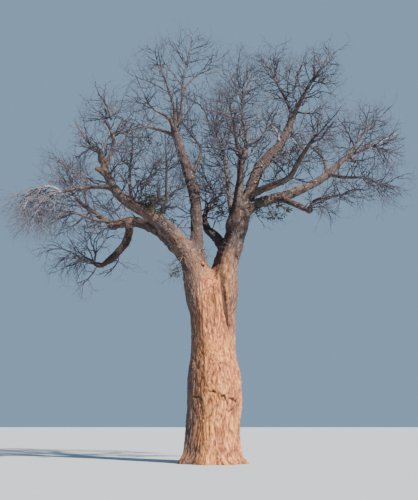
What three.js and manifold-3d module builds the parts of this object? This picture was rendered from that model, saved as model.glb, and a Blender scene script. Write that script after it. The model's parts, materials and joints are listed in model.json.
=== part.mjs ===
// A bare baobab tree: a thick trunk that forks into two stems, the boughs that
// rise from them, and the masses of twigs that the boughs carry.
// Sizes are in metres here and are multiplied by MM when a solid is made.
// The origin is on the ground under the trunk, +Z is up, +X is to the right of
// someone who looks along +Y at the front of the tree.
import * as THREE from "three";
import { mergeVertices } from "three/addons/utils/BufferGeometryUtils.js";
import Module from "manifold-3d";

const wasm = await Module();
wasm.setup();

const MM = 1000;
const CLEAR = 0.0004; // air left between two solids that meet
const SEAT = 0.0003; // air between a bough's tip and the stem of its twigs
const TWIG_CLEAR = 0.008; // least air round a twig that passes a limb or another mass

// The trunk

const TRUNK_SIDES = 21;
const FOOT_LOBES = 7;
const FOOT_LOBE_DEPTH = 0.11;
const FOOT_LOBE_HEIGHT = 0.55;
const FOOT_LOBE_TURN = 0.6;
const FORK_FROM = 7; // above this height the trunk's rings close over its fork
// Height, half width, half depth and centre of the trunk from foot to fork.
const TRUNK_ROWS = [
  { z: 0.0, wide: 1.46, deep: 1.4, x: -0.06 },
  { z: 0.14, wide: 1.34, deep: 1.3, x: -0.06 },
  { z: 0.38, wide: 1.21, deep: 1.2, x: -0.05 },
  { z: 0.75, wide: 1.17, deep: 1.16, x: -0.04 },
  { z: 1.3, wide: 1.13, deep: 1.13, x: -0.01 },
  { z: 2.3, wide: 1.12, deep: 1.12, x: 0.04 },
  { z: 3.2, wide: 1.12, deep: 1.1, x: 0.04 },
  { z: 3.75, wide: 1.09, deep: 1.06, x: 0.04 },
  { z: 4.25, wide: 0.98, deep: 0.98, x: 0.01 },
  { z: 4.7, wide: 0.93, deep: 0.94, x: 0.0 },
  { z: 5.5, wide: 0.92, deep: 0.92, x: -0.01 },
  { z: 6.2, wide: 0.94, deep: 0.88, x: -0.04 },
  { z: 6.9, wide: 0.99, deep: 0.82, x: -0.06 },
  { z: 7.5, wide: 1.06, deep: 0.72, x: -0.08 },
  { z: 7.9, wide: 0.99, deep: 0.6, x: -0.08 },
  { z: 8.1, wide: 0.6, deep: 0.36, x: -0.06 },
];

// The boughs. Each is one limb along a short route of x, y, z and radius.

const LIMBS = [
  {
    name: "right_stem",
    sides: 12,
    route: [
      [0.3, 0, 6.8, 0.62], [0.56, 0.05, 8.5, 0.56], [0.9, 0.02, 9.5, 0.46],
      [1.13, 0, 10.6, 0.42], [1.09, -0.1, 11.2, 0.22], [1.2, -0.35, 12.1, 0.16],
      [1.24, -0.65, 12.85, 0.17], [1.32, -0.9, 13.25, 0.22],
    ],
  },
  {
    name: "upright_bough",
    sides: 9,
    route: [
      [-0.4, 0.05, 6.9, 0.58], [-0.62, 0.02, 8.2, 0.41], [-0.7, 0, 9.1, 0.29],
      [-0.76, 0.15, 11.1, 0.235], [-1.01, 0.3, 12.35, 0.24], [-1.55, 0.5, 14.1, 0.195],
      [-1.78, 0.5, 14.9, 0.15],
    ],
  },
  {
    name: "upper_left_bough",
    sides: 10,
    route: [
      [-0.5, -0.1, 6.9, 0.56], [-0.85, -0.12, 8.25, 0.5], [-1.2, -0.2, 8.95, 0.4],
      [-1.86, -0.6, 9.77, 0.33], [-2.69, -1.2, 10.35, 0.28], [-3.72, -2, 10.8, 0.225],
      [-4.26, -2.4, 11.4, 0.17], [-4.61, -2.65, 12.4, 0.13],
    ],
  },
  {
    name: "lower_left_bough",
    sides: 8,
    route: [
      [-0.6, 0.05, 7.7, 0.42], [-1.0, 0.22, 8.56, 0.37], [-1.45, 0.42, 9.12, 0.34],
      [-2.34, 0.9, 10.08, 0.285], [-3.4, 1.3, 10.65, 0.235], [-4.2, 1.5, 10.65, 0.21],
      [-4.65, 1.6, 10.54, 0.18],
    ],
  },
  {
    name: "leaning_bough",
    sides: 10,
    route: [
      [1.1, 0.02, 10.2, 0.33], [1.36, 0.05, 10.95, 0.28], [1.7, 0.3, 11.9, 0.26],
      [2.08, 0.6, 12.92, 0.25], [2.6, 0.9, 13.65, 0.26], [3.02, 1.1, 14.15, 0.23],
      [3.44, 1.3, 14.95, 0.17], [3.8, 1.5, 15.85, 0.14],
    ],
  },
  {
    name: "lower_right_bough",
    sides: 9,
    route: [
      [0.95, -0.1, 10.2, 0.34], [1.5, -0.12, 10.86, 0.25], [2.3, -0.1, 11.26, 0.22],
      [3.2, -0.1, 11.49, 0.215], [4.34, 0, 12.01, 0.18], [5.17, 0.1, 12.55, 0.17],
      [5.74, 0.2, 13.14, 0.13], [6.2, 0.3, 13.53, 0.1],
    ],
  },
  {
    name: "upper_right_bough",
    sides: 7,
    route: [
      [1.52, 0.12, 11.4, 0.17], [1.95, -0.3, 11.62, 0.155], [2.6, -1, 11.72, 0.15],
      [3.25, -1.7, 11.86, 0.12], [3.6, -2.3, 12.4, 0.09], [4, -3, 12.92, 0.066],
    ],
  },
  {
    name: "slim_bough",
    sides: 6,
    route: [
      [1, 0.12, 10.2, 0.18], [0.83, 0.45, 10.85, 0.115], [0.7, 1.2, 12.5, 0.094],
      [0.52, 2.1, 14.2, 0.082], [0.2, 2.7, 15.3, 0.062],
    ],
  },
  {
    name: "back_bough",
    sides: 7,
    route: [
      [0.6, 0.25, 9, 0.27], [0.16, 0.8, 9.81, 0.21], [-0.26, 1.5, 10.4, 0.17],
      [-0.36, 2.3, 11.25, 0.115], [0.05, 3.6, 12.45, 0.085],
    ],
  },
  {
    name: "centre_front_bough",
    sides: 5,
    route: [[1.25, -0.8, 13.1, 0.1], [1.02, -1.5, 13.45, 0.068], [0.9, -2.4, 13.95, 0.052]],
  },
  {
    name: "centre_top_bough",
    sides: 5,
    route: [
      [1.34, -0.86, 13.1, 0.14], [1.52, -0.45, 14, 0.086], [1.4, 0.2, 15.1, 0.068],
      [1.37, 0.7, 15.9, 0.056],
    ],
  },
  {
    name: "leaning_left_leader",
    sides: 5,
    route: [[3.78, 1.48, 15.72, 0.1], [3.67, 1.95, 16.6, 0.08], [3.42, 2.5, 17.5, 0.064]],
  },
  {
    name: "leaning_right_leader",
    sides: 5,
    route: [[3.8, 1.45, 15.78, 0.11], [4.15, 1.2, 16.5, 0.1], [4.52, 0.95, 17.15, 0.085]],
  },
  {
    name: "right_reach_bough",
    sides: 5,
    route: [[6.14, 0.28, 13.48, 0.1], [6.55, 0.3, 13.68, 0.084], [7.1, 0.25, 13.9, 0.064]],
  },
  {
    name: "right_rising_bough",
    sides: 5,
    route: [[6.15, 0.32, 13.5, 0.09], [6.6, 0.8, 14.2, 0.064], [7.06, 1.3, 14.95, 0.054]],
  },
  {
    name: "right_back_bough",
    sides: 5,
    route: [[5.15, 0.12, 12.6, 0.11], [5.15, 1.3, 13.7, 0.064], [4.9, 2.5, 14.6, 0.052]],
  },
  {
    name: "right_low_bough",
    sides: 5,
    route: [[5.2, 0.05, 12.55, 0.1], [5.75, -0.8, 12.13, 0.074], [6.12, -1.55, 11.9, 0.058]],
  },
  {
    name: "elbow_inner_bough",
    sides: 6,
    route: [[2.85, -0.15, 11.4, 0.15], [3.3, -0.6, 11.1, 0.14], [4.16, -1.1, 10.54, 0.12]],
  },
  {
    name: "elbow_outer_bough",
    sides: 5,
    route: [
      [4.1, -1.08, 10.56, 0.095], [4.35, -1.35, 10.92, 0.074], [4.95, -1.85, 10.96, 0.058],
    ],
  },
  {
    name: "arch_branch",
    sides: 5,
    route: [[-1.7, 0.5, 14.5, 0.1], [-2.3, 1, 14.95, 0.074], [-3, 1.7, 15.38, 0.054]],
  },
  {
    name: "top_leader",
    sides: 5,
    route: [
      [-1.76, 0.5, 14.78, 0.11], [-1.52, 0.55, 15.4, 0.078], [-1.42, 0.6, 16.4, 0.054],
      [-1.4, 0.65, 17.1, 0.046],
    ],
  },
  {
    name: "left_leader",
    sides: 5,
    route: [
      [-1.77, 0.48, 14.8, 0.1], [-1.75, 0.2, 15.6, 0.062], [-1.98, -0.15, 16.4, 0.048],
      [-2.2, -0.45, 17, 0.04],
    ],
  },
  {
    name: "left_low_leader",
    sides: 5,
    route: [[-1.79, 0.42, 14.85, 0.09], [-2.03, 0, 15.2, 0.068], [-2.48, -0.8, 15.2, 0.046]],
  },
  {
    name: "right_leader",
    sides: 5,
    route: [[-1.42, 0.62, 16.6, 0.046], [-1.1, 1.05, 17.4, 0.042], [-0.72, 1.45, 17.95, 0.036]],
  },
  {
    name: "inner_bough",
    sides: 5,
    route: [
      [-0.98, 0.32, 12.5, 0.11], [-0.57, 0.95, 13.76, 0.06], [-0.64, 1.5, 14.46, 0.054],
      [-0.97, 1.95, 15.04, 0.046],
    ],
  },
  {
    name: "left_reach_bough",
    sides: 7,
    route: [
      [-4.2, -2.32, 11.22, 0.12], [-4.87, -2.6, 11.15, 0.078], [-5.5, -2.8, 11.02, 0.068],
      [-6.2, -3, 10.84, 0.056],
    ],
  },
  {
    name: "left_twin_bough",
    sides: 5,
    route: [
      [-4.54, -2.6, 11.95, 0.11], [-4.24, -2.72, 12.55, 0.08], [-4.14, -2.8, 13.2, 0.064],
      [-4.38, -2.75, 13.8, 0.054],
    ],
  },
  {
    name: "left_front_bough",
    sides: 5,
    route: [[-3.38, -1.65, 10.66, 0.1], [-3.48, -2.2, 11.32, 0.06], [-3.4, -2.9, 11.79, 0.05]],
  },
  {
    name: "inner_left_bough",
    sides: 5,
    route: [[-2.4, -1, 10.15, 0.11], [-2.03, -1.5, 10.8, 0.064], [-1.95, -2.3, 11.6, 0.052]],
  },
  {
    name: "back_reach_bough",
    sides: 7,
    route: [
      [-4.55, 1.58, 10.56, 0.15], [-5.29, 1.95, 11.09, 0.12], [-6.09, 2.5, 11.74, 0.095],
      [-6.56, 3, 12.25, 0.07],
    ],
  },
  {
    name: "low_reach_bough",
    sides: 5,
    route: [[-4.85, 1.68, 10.78, 0.09], [-5.4, 1.35, 10.75, 0.062], [-6, 0.95, 10.9, 0.05]],
  },
  {
    name: "hanging_limb_upper",
    sides: 7,
    route: [
      [-3.84, 1.35, 10.6, 0.19], [-3.82, 1.15, 10.1, 0.175], [-3.95, 0.9, 9.56, 0.18],
      [-4.23, 0.6, 9.08, 0.155], [-4.6, 0.4, 8.66, 0.13],
    ],
  },
  {
    name: "hanging_limb_lower",
    sides: 5,
    route: [[-4.56, 0.42, 8.7, 0.11], [-4.95, 0.2, 8.4, 0.105], [-5.35, 0, 8.57, 0.08]],
  },
];

// The masses of twigs. Each grows on from the tip of one bough and keeps to a
// space of its own, a rounded room with a centre and three half sizes.

const MASSES = [
  {
    name: "left_reach_twigs",
    on: "left_reach_bough",
    seed: 11,
    centre: [-7.35, -3.1, 9.85],
    half: [1.4, 1.8, 1.4],
    lift: -0.7,
  },
  {
    name: "left_knuckle_twigs",
    on: "upper_left_bough",
    seed: 36,
    centre: [-5.2, -3.1, 12.95],
    half: [1.0, 1.6, 1.15],
    lift: 0.2,
  },
  {
    name: "upper_left_twigs",
    on: "left_twin_bough",
    seed: 12,
    centre: [-4.5, -2.6, 14.3],
    half: [1.35, 1.7, 1.2],
    lift: 0.2,
  },
  {
    name: "left_front_twigs",
    on: "left_front_bough",
    seed: 13,
    centre: [-3.2, -3.9, 12.5],
    half: [1.1, 1.7, 1.3],
    lift: 0.25,
  },
  {
    name: "inner_left_twigs",
    on: "inner_left_bough",
    seed: 14,
    centre: [-1.9, -3.4, 12.2],
    half: [1.1, 1.7, 1.4],
    lift: 0.3,
  },
  {
    name: "back_reach_twigs",
    on: "back_reach_bough",
    seed: 15,
    centre: [-7.1, 3.2, 13.7],
    half: [1.7, 1.9, 1.3],
    lift: 0.2,
  },
  {
    name: "low_reach_twigs",
    on: "low_reach_bough",
    seed: 16,
    centre: [-6.9, 0.6, 10.6],
    half: [1.4, 1.7, 1.2],
    lift: -0.2,
  },
  {
    name: "hanging_twigs",
    on: "hanging_limb_lower",
    seed: 17,
    centre: [-5.85, -0.5, 8.55],
    half: [1.5, 1.5, 1.15],
    lift: 0.0,
  },
  {
    name: "arch_twigs",
    on: "arch_branch",
    seed: 18,
    centre: [-3.7, 2.8, 16.1],
    half: [1.4, 1.8, 1.3],
    lift: 0.1,
  },
  {
    name: "left_low_twigs",
    on: "left_low_leader",
    seed: 19,
    centre: [-3.1, -1.8, 15.8],
    half: [1.15, 1.6, 1.15],
    lift: 0.3,
  },
  {
    name: "left_top_twigs",
    on: "left_leader",
    seed: 20,
    centre: [-2.4, -0.8, 17.7],
    half: [1.15, 1.6, 1.2],
    lift: 0.4,
  },
  {
    name: "top_twigs",
    on: "top_leader",
    seed: 21,
    centre: [-1.05, 0.8, 18.65],
    half: [1.25, 1.6, 1.6],
    lift: 0.45,
  },
  {
    name: "right_leader_twigs",
    on: "right_leader",
    seed: 22,
    centre: [0.0, 1.9, 18.2],
    half: [1.0, 1.6, 1.3],
    lift: 0.3,
  },
  {
    name: "inner_twigs",
    on: "inner_bough",
    seed: 23,
    centre: [-1.2, 2.7, 16.6],
    half: [1.4, 1.8, 1.5],
    lift: 0.3,
  },
  {
    name: "back_twigs",
    on: "back_bough",
    seed: 24,
    centre: [-0.4, 4.3, 13.7],
    half: [1.6, 1.9, 1.7],
    lift: 0.3,
  },
  {
    name: "slim_twigs",
    on: "slim_bough",
    seed: 25,
    centre: [0.3, 3.5, 17.0],
    half: [1.3, 1.8, 1.8],
    lift: 0.4,
  },
  {
    name: "centre_front_twigs",
    on: "centre_front_bough",
    seed: 26,
    centre: [0.7, -3.5, 14.1],
    half: [1.3, 1.9, 1.4],
    lift: 0.3,
  },
  {
    name: "centre_top_twigs",
    on: "centre_top_bough",
    seed: 27,
    centre: [1.5, 1.0, 17.6],
    half: [1.2, 1.7, 1.7],
    lift: 0.45,
  },
  {
    name: "leaning_left_twigs",
    on: "leaning_left_leader",
    seed: 28,
    centre: [3.1, 3.2, 18.9],
    half: [1.4, 1.8, 1.5],
    lift: 0.4,
  },
  {
    name: "leaning_right_twigs",
    on: "leaning_right_leader",
    seed: 29,
    centre: [4.95, 0.7, 17.6],
    half: [1.35, 1.7, 1.6],
    lift: 0.35,
  },
  {
    name: "upper_right_twigs",
    on: "upper_right_bough",
    seed: 30,
    centre: [4.5, -3.8, 13.3],
    half: [1.35, 1.8, 1.4],
    lift: 0.3,
  },
  {
    name: "right_reach_twigs",
    on: "right_reach_bough",
    seed: 31,
    centre: [7.8, 0.1, 13.7],
    half: [1.05, 1.6, 1.4],
    lift: 0.1,
  },
  {
    name: "right_rising_twigs",
    on: "right_rising_bough",
    seed: 32,
    centre: [7.4, 1.8, 15.6],
    half: [1.45, 1.7, 1.25],
    lift: 0.25,
  },
  {
    name: "right_back_twigs",
    on: "right_back_bough",
    seed: 33,
    centre: [5.1, 3.8, 16.0],
    half: [1.6, 1.8, 1.6],
    lift: 0.25,
  },
  {
    name: "right_low_twigs",
    on: "right_low_bough",
    seed: 34,
    centre: [6.8, -2.5, 11.4],
    half: [1.3, 1.7, 1.0],
    lift: 0.0,
  },
  {
    name: "elbow_twigs",
    on: "elbow_outer_bough",
    seed: 35,
    centre: [5.4, -2.9, 10.75],
    half: [1.15, 1.6, 0.95],
    lift: 0.1,
  },
];

// The rule of growth. A stem runs straight to its knee, bends towards the centre
// of the space and goes on to its far side. Its thin list gives its radius at
// each point as a share of the bough's tip.
const STEM = {
  knee: 0.15,
  bend: 0.35,
  middle: 0.7,
  sway: 0.25,
  reach: 0.92,
  thin: [1, 0.95, 0.75, 0.5, 0.15],
};
// Branches leave a stem, and twigs leave a branch: how many, from which share of
// the parent on, at what angle, how much they lift, how long and how thick.
const BRANCH = {
  count: 7,
  from: 0.3,
  angle: 0.95,
  turnChance: 0.5,
  lift: 0.8,
  longest: 2.4,
  thin: 0.5,
  thickest: 0.045,
  straight: false,
};
const TWIG = {
  count: 3,
  from: 0.3,
  angle: 0.75,
  turnChance: 1,
  lift: 0.5,
  longest: 1.1,
  thin: 0.42,
  thickest: 0.022,
  straight: true,
};
const GOLDEN_TURN = 2.399963;
const REACH = { least: 0.72, more: 0.26 }; // share of the room that a branch takes up
const LENGTH = { least: 0.75, more: 0.5 }; // share of its greatest length
const ANGLE_CHANCE = 0.25;
const WOBBLE = 0.2;
const TAPER = { middle: 0.7, end: 0.3 };
const SHORTEST_TWIG = 0.15;
const SPACE_EDGE = 1.02;
const SPACE_CHECKS = [0.34, 0.67, 1];
const STEM_SIDES = 4;
const TWIG_SIDES = 3;

const SPAN_STEPS = 2; // rings for each span of a limb's route

// Lines and the directions along and across them

// A direction square to the one given.
function square(way) {
  const other = Math.abs(way.z) < 0.8 ? new THREE.Vector3(0, 0, 1) : new THREE.Vector3(1, 0, 0);
  return way.clone().cross(other).normalize();
}

// The point that lies `size` from another in a direction.
const onward = (from, way, size) => from.clone().addScaledVector(way, size);

const direction = (from, to) => to.clone().sub(from).normalize();

// The smooth line of a limb: a point and a radius at each step of its route.
function limbLine(route) {
  const points = route.map(([x, y, z]) => new THREE.Vector3(x, y, z));
  const curve = new THREE.CatmullRomCurve3(points, false, "catmullrom");
  const spans = route.length - 1;
  const line = [];
  for (let step = 0; step <= spans * SPAN_STEPS; step += 1) {
    const place = step / SPAN_STEPS;
    const from = Math.min(Math.floor(place), spans - 1);
    const radius = THREE.MathUtils.lerp(route[from][3], route[from + 1][3], place - from);
    line.push({ at: curve.getPoint(place / spans), radius });
  }
  return line;
}

// The directions along and across each point of a line, carried on without twist.
function acrossLine(line, firstSide) {
  const last = line.length - 1;
  let side = firstSide;
  return line.map(({ at, radius }, index) => {
    const way = direction(line[Math.max(index - 1, 0)].at, line[Math.min(index + 1, last)].at);
    side = side ? side.clone().projectOnPlane(way).normalize() : square(way);
    return { at, radius, way, side, out: side.clone().cross(way) };
  });
}

// Solids

// A closed cylinder, or a cone, whose rings are laid where `place` says. It gets
// the number of the ring and a point on the unit circle, or 0, 0 for the middle.
function ringSolid(sides, rings, pointed, place) {
  const spans = rings - 1;
  const geometry = new THREE.CylinderGeometry(pointed ? 0 : 1, 1, spans, sides, spans);
  geometry.deleteAttribute("normal");
  geometry.deleteAttribute("uv");
  const corners = geometry.getAttribute("position");
  for (let index = 0; index < corners.count; index += 1) {
    const x = corners.getX(index);
    const z = corners.getZ(index);
    const ring = Math.round(corners.getY(index) + spans / 2);
    const radius = Math.hypot(x, z) || 1;
    const point = place(ring, x / radius, z / radius).multiplyScalar(MM);
    corners.setXYZ(index, point.x, point.y, point.z);
  }
  const merged = mergeVertices(geometry);
  const vertProperties = merged.getAttribute("position").array;
  const triVerts = Uint32Array.from(merged.getIndex().array);
  return new wasm.Manifold(new wasm.Mesh({ numProp: 3, vertProperties, triVerts }));
}

// A tapering tube round a line. `grow` makes it thicker and longer at both ends.
function tube(line, sides, { grow = 0, pointed = false, firstSide = null } = {}) {
  const across = acrossLine(line, firstSide);
  const last = across.length - 1;
  return ringSolid(sides, across.length, pointed, (ring, x, z) => {
    const { at, radius, way, side, out } = across[ring];
    const shift = grow * (Number(ring === last) - Number(ring === 0));
    return onward(at, way, shift)
      .addScaledVector(side, (radius + grow) * x)
      .addScaledVector(out, (radius + grow) * z);
  });
}

// The trunk: round above, with the lobes of the roots at its foot.
function trunkSolid(grow) {
  return ringSolid(TRUNK_SIDES, TRUNK_ROWS.length, false, (ring, x, z) => {
    const row = TRUNK_ROWS[ring];
    const turn = Math.atan2(-z, x);
    const lobe = FOOT_LOBE_DEPTH * Math.exp(-row.z / FOOT_LOBE_HEIGHT);
    const swell = 1 + lobe * Math.cos(FOOT_LOBES * turn + FOOT_LOBE_TURN);
    const height = row.z + (row.z > FORK_FROM ? grow : 0);
    const wide = (row.wide + grow) * swell * x;
    const deep = (row.deep + grow) * swell * z;
    return new THREE.Vector3(row.x + wide, -deep, height);
  });
}

function largest(body) {
  const pieces = body.decompose();
  return pieces.reduce((best, piece) => (piece.volume() > best.volume() ? piece : best));
}

// A limb's solid, cut back from the trunk and from the limbs made before it.
function limbSolid(limb, earlier) {
  const whole = tube(limb.line, limb.sides);
  return largest(earlier.reduce((body, other) => body.subtract(other), whole));
}

// Chance values that depend only on a twig's key, so that leaving one twig out
// changes no other.
const KEY_STEP = 7;
const MIXERS = {
  choice: 0x9e3779b1,
  first: 0x85ebca6b,
  second: 0xc2b2ae35,
  child: 0x27d4eb2f,
  next: 0x165667b1,
};
const WHOLE_RANGE = 2 ** 32;

function chance(key, choice) {
  let value = Math.imul(key ^ Math.imul(choice + 1, MIXERS.choice), MIXERS.first);
  value ^= value >>> 13;
  value = Math.imul(value, MIXERS.second);
  value ^= value >>> 16;
  return (value >>> 0) / WHOLE_RANGE;
}

const spreadChance = (key, choice) => 2 * chance(key, choice) - 1;

function childKey(key, index) {
  return Math.imul(key ^ Math.imul(index + KEY_STEP, MIXERS.child), MIXERS.next) >>> 0;
}

// Spaces and clearances

// A point seen from a mass's centre, in shares of its half sizes.
const inSpace = (point, mass) => point.clone().sub(mass.centre).divide(mass.half);

const share = (point, mass) => inSpace(point, mass).length();

// How far one can go from a point before leaving the space of a mass.
function room(point, way, mass) {
  const from = inSpace(point, mass);
  const go = way.clone().divide(mass.half);
  const a = go.dot(go);
  const b = from.dot(go);
  const c = from.dot(from) - 1;
  const inside = b * b - a * c;
  return inside > 0 ? (Math.sqrt(inside) - b) / a : 0;
}

const clamp = (value) => THREE.MathUtils.clamp(value, 0, 1);

// The least distance between two straight pieces, a to b and c to d.
function apart(a, b, c, d) {
  const u = b.clone().sub(a);
  const v = d.clone().sub(c);
  const w = a.clone().sub(c);
  const uu = u.dot(u);
  const uv = u.dot(v);
  const vv = v.dot(v);
  const uw = u.dot(w);
  const vw = v.dot(w);
  const flat = uu * vv - uv * uv;
  const first = flat > 1e-12 ? clamp((uv * vw - vv * uw) / flat) : 0;
  const t = clamp((uv * first + vw) / vv);
  const s = clamp((uv * t - uw) / uu);
  return w.addScaledVector(u, s).addScaledVector(v, -t).length();
}

// The straight pieces of a line, each with its two ends and its greater radius.
function piecesOf(line, owner) {
  return line.slice(1).map((end, index) => {
    const start = line[index];
    return { a: start.at, b: end.at, radius: Math.max(start.radius, end.radius), owner };
  });
}

const limbPieces = [];
const twigPieces = [];

// Whether a point of a mass's twig lies in the mass's own space.
function inOwnSpace(point, mass) {
  const own = share(point, mass);
  return own <= SPACE_EDGE && MASSES.every((other) => other === mass || share(point, other) >= own);
}

// Whether a twig keeps to its own space and clear of everything it passes.
function fits(line, mass) {
  return piecesOf(line, mass.name).every(({ a, b, radius, owner }) => {
    const inside = SPACE_CHECKS.every((t) => inOwnSpace(a.clone().lerp(b, t), mass));
    const clear = (other) => apart(a, b, other.a, other.b) >= radius + other.radius + TWIG_CLEAR;
    const free = inside && limbPieces.every(clear);
    return free && twigPieces.every((other) => other.owner === owner || clear(other));
  });
}

// The growth of the twigs

// The point at a share of the way along a line, with the direction there.
function along(line, where) {
  const spans = line.length - 1;
  const span = Math.min(Math.floor(where * spans), spans - 1);
  const t = where * spans - span;
  const [from, to] = [line[span], line[span + 1]];
  return {
    at: from.at.clone().lerp(to.at, t),
    radius: THREE.MathUtils.lerp(from.radius, to.radius, t),
    way: direction(from.at, to.at),
  };
}

// A direction that leaves another at an angle, on the side that the turn gives.
function leave(way, angle, turn) {
  const out = square(way).applyAxisAngle(way, turn);
  return way.clone().multiplyScalar(Math.cos(angle)).addScaledVector(out, Math.sin(angle));
}

// The stem of a mass carries its bough on.
function stemLine(mass, limb) {
  const [before, tip] = limb.line.slice(-2);
  const way = direction(before.at, tip.at);
  const start = onward(tip.at, way, SEAT);
  const knee = onward(start, way, STEM.knee);
  const toCentre = mass.centre.clone().sub(knee);
  const inward = toCentre.clone().normalize();
  const bend = onward(knee, way.clone().add(inward).normalize(), STEM.bend * toCentre.length());
  const middle = bend.clone().lerp(mass.centre, STEM.middle);
  const sway = [STEM.sway * spreadChance(mass.seed, 1), STEM.sway * spreadChance(mass.seed, 2)];
  const outward = inward.add(new THREE.Vector3(...sway, mass.lift)).normalize();
  const end = onward(middle, outward, STEM.reach * room(middle, outward, mass));
  const points = [start, knee, bend, middle, end];
  return points.map((at, index) => ({ at, radius: tip.radius * STEM.thin[index] }));
}

// A side branch reaches from its parent towards the edge of the space.
function branchLine(parent, where, turn, key, mass, order) {
  const from = along(parent, where);
  const way = leave(from.way, order.angle + ANGLE_CHANCE * spreadChance(key, 3), turn);
  const bent = way.clone().add(new THREE.Vector3(0, 0, mass.lift * order.lift)).normalize();
  const reach = room(from.at, bent, mass) * (REACH.least + REACH.more * chance(key, 4));
  const size = Math.min(reach, order.longest * (LENGTH.least + LENGTH.more * chance(key, 5)));
  const radius = Math.min(from.radius * order.thin, order.thickest);
  const sway = [6, 7, 8].map((choice) => WOBBLE * spreadChance(key, choice));
  const middle = onward(from.at, way.add(new THREE.Vector3(...sway)).normalize(), size / 2);
  const end = onward(middle, bent, size / 2);
  return [
    { at: from.at, radius },
    { at: middle, radius: radius * TAPER.middle },
    { at: end, radius: radius * TAPER.end },
  ];
}

// The side branches of one parent that keep to the space and clear of the rest.
function offshoots(parent, parentKey, mass, order) {
  const kept = [];
  for (let index = 0; index < order.count; index += 1) {
    const key = childKey(parentKey, index);
    const where = order.from + ((1 - order.from) * (index + 0.5 * chance(key, 1))) / order.count;
    const turn = index * GOLDEN_TURN + order.turnChance * spreadChance(key, 2);
    const bent = branchLine(parent, where, turn, key, mass, order);
    const line = order.straight ? [bent[0], bent[2]] : bent;
    if (bent[0].at.distanceTo(bent[2].at) < SHORTEST_TWIG || !fits(line, mass)) continue;
    twigPieces.push(...piecesOf(line, mass.name));
    kept.push({ line, key });
  }
  return kept;
}

// All stems are laid out first, then all branches, then all twigs.
function growMasses() {
  for (const mass of MASSES) {
    const limb = LIMBS.find((other) => other.name === mass.on);
    mass.side = acrossLine(limb.line).at(-1).side;
    mass.stem = stemLine(mass, limb);
    twigPieces.push(...piecesOf(mass.stem, mass.name));
  }
  for (const mass of MASSES) {
    mass.branches = offshoots(mass.stem, mass.seed, mass, BRANCH);
  }
  for (const mass of MASSES) {
    mass.twigs = mass.branches.flatMap((branch) => offshoots(branch.line, branch.key, mass, TWIG));
  }
}

function massSolid(mass) {
  const stem = tube(mass.stem, STEM_SIDES, { firstSide: mass.side });
  const shoots = [...mass.branches, ...mass.twigs];
  const spikes = shoots.map((shoot) => tube(shoot.line, TWIG_SIDES, { pointed: true }));
  return largest(wasm.Manifold.union([stem, ...spikes]));
}

// The tree

const WOOD = { color: 0x9a7a66, roughness: 0.85, metalness: 0 };
const TWIG_WOOD = { color: 0x6d5c52, roughness: 0.9, metalness: 0 };

// A solid as a named mesh whose own origin is at its foot.
function meshOf(name, body, foot, look) {
  const { vertProperties, triVerts } = body.getMesh();
  const start = foot.clone().multiplyScalar(MM);
  const geometry = new THREE.BufferGeometry();
  geometry.setAttribute("position", new THREE.BufferAttribute(new Float32Array(vertProperties), 3));
  geometry.setIndex(new THREE.BufferAttribute(new Uint32Array(triVerts), 1));
  geometry.translate(-start.x, -start.y, -start.z);
  geometry.computeVertexNormals();
  const mesh = new THREE.Mesh(geometry, new THREE.MeshStandardMaterial(look));
  mesh.name = name;
  mesh.position.copy(start);
  return mesh;
}

const tree = new THREE.Group();
const boughs = new THREE.Group();
const twigs = new THREE.Group();
tree.add(meshOf("trunk", trunkSolid(0), new THREE.Vector3(), WOOD), boughs, twigs);

const cutters = [trunkSolid(CLEAR)];
for (const limb of LIMBS) {
  limb.line = limbLine(limb.route);
  limbPieces.push(...piecesOf(limb.line, limb.name));
  boughs.add(meshOf(limb.name, limbSolid(limb, cutters), limb.line[0].at, WOOD));
  cutters.push(tube(limb.line, limb.sides, { grow: CLEAR }));
}

for (const mass of MASSES) {
  mass.centre = new THREE.Vector3(...mass.centre);
  mass.half = new THREE.Vector3(...mass.half);
}
growMasses();
for (const mass of MASSES) {
  twigs.add(meshOf(mass.name, massSolid(mass), mass.stem[0].at, TWIG_WOOD));
}

export default tree;
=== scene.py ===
"""A bare baobab tree: one bark skin over its trunk and boughs, and a crown of fine
twigs and a few last leaves that grow on from the boughs by one seeded rule.

Metres, +Z up, the origin on the ground under the trunk. +X is to the right of someone
who looks along +Y at the front of the tree.
"""
import json
import math
from itertools import product
from typing import NamedTuple

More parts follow.
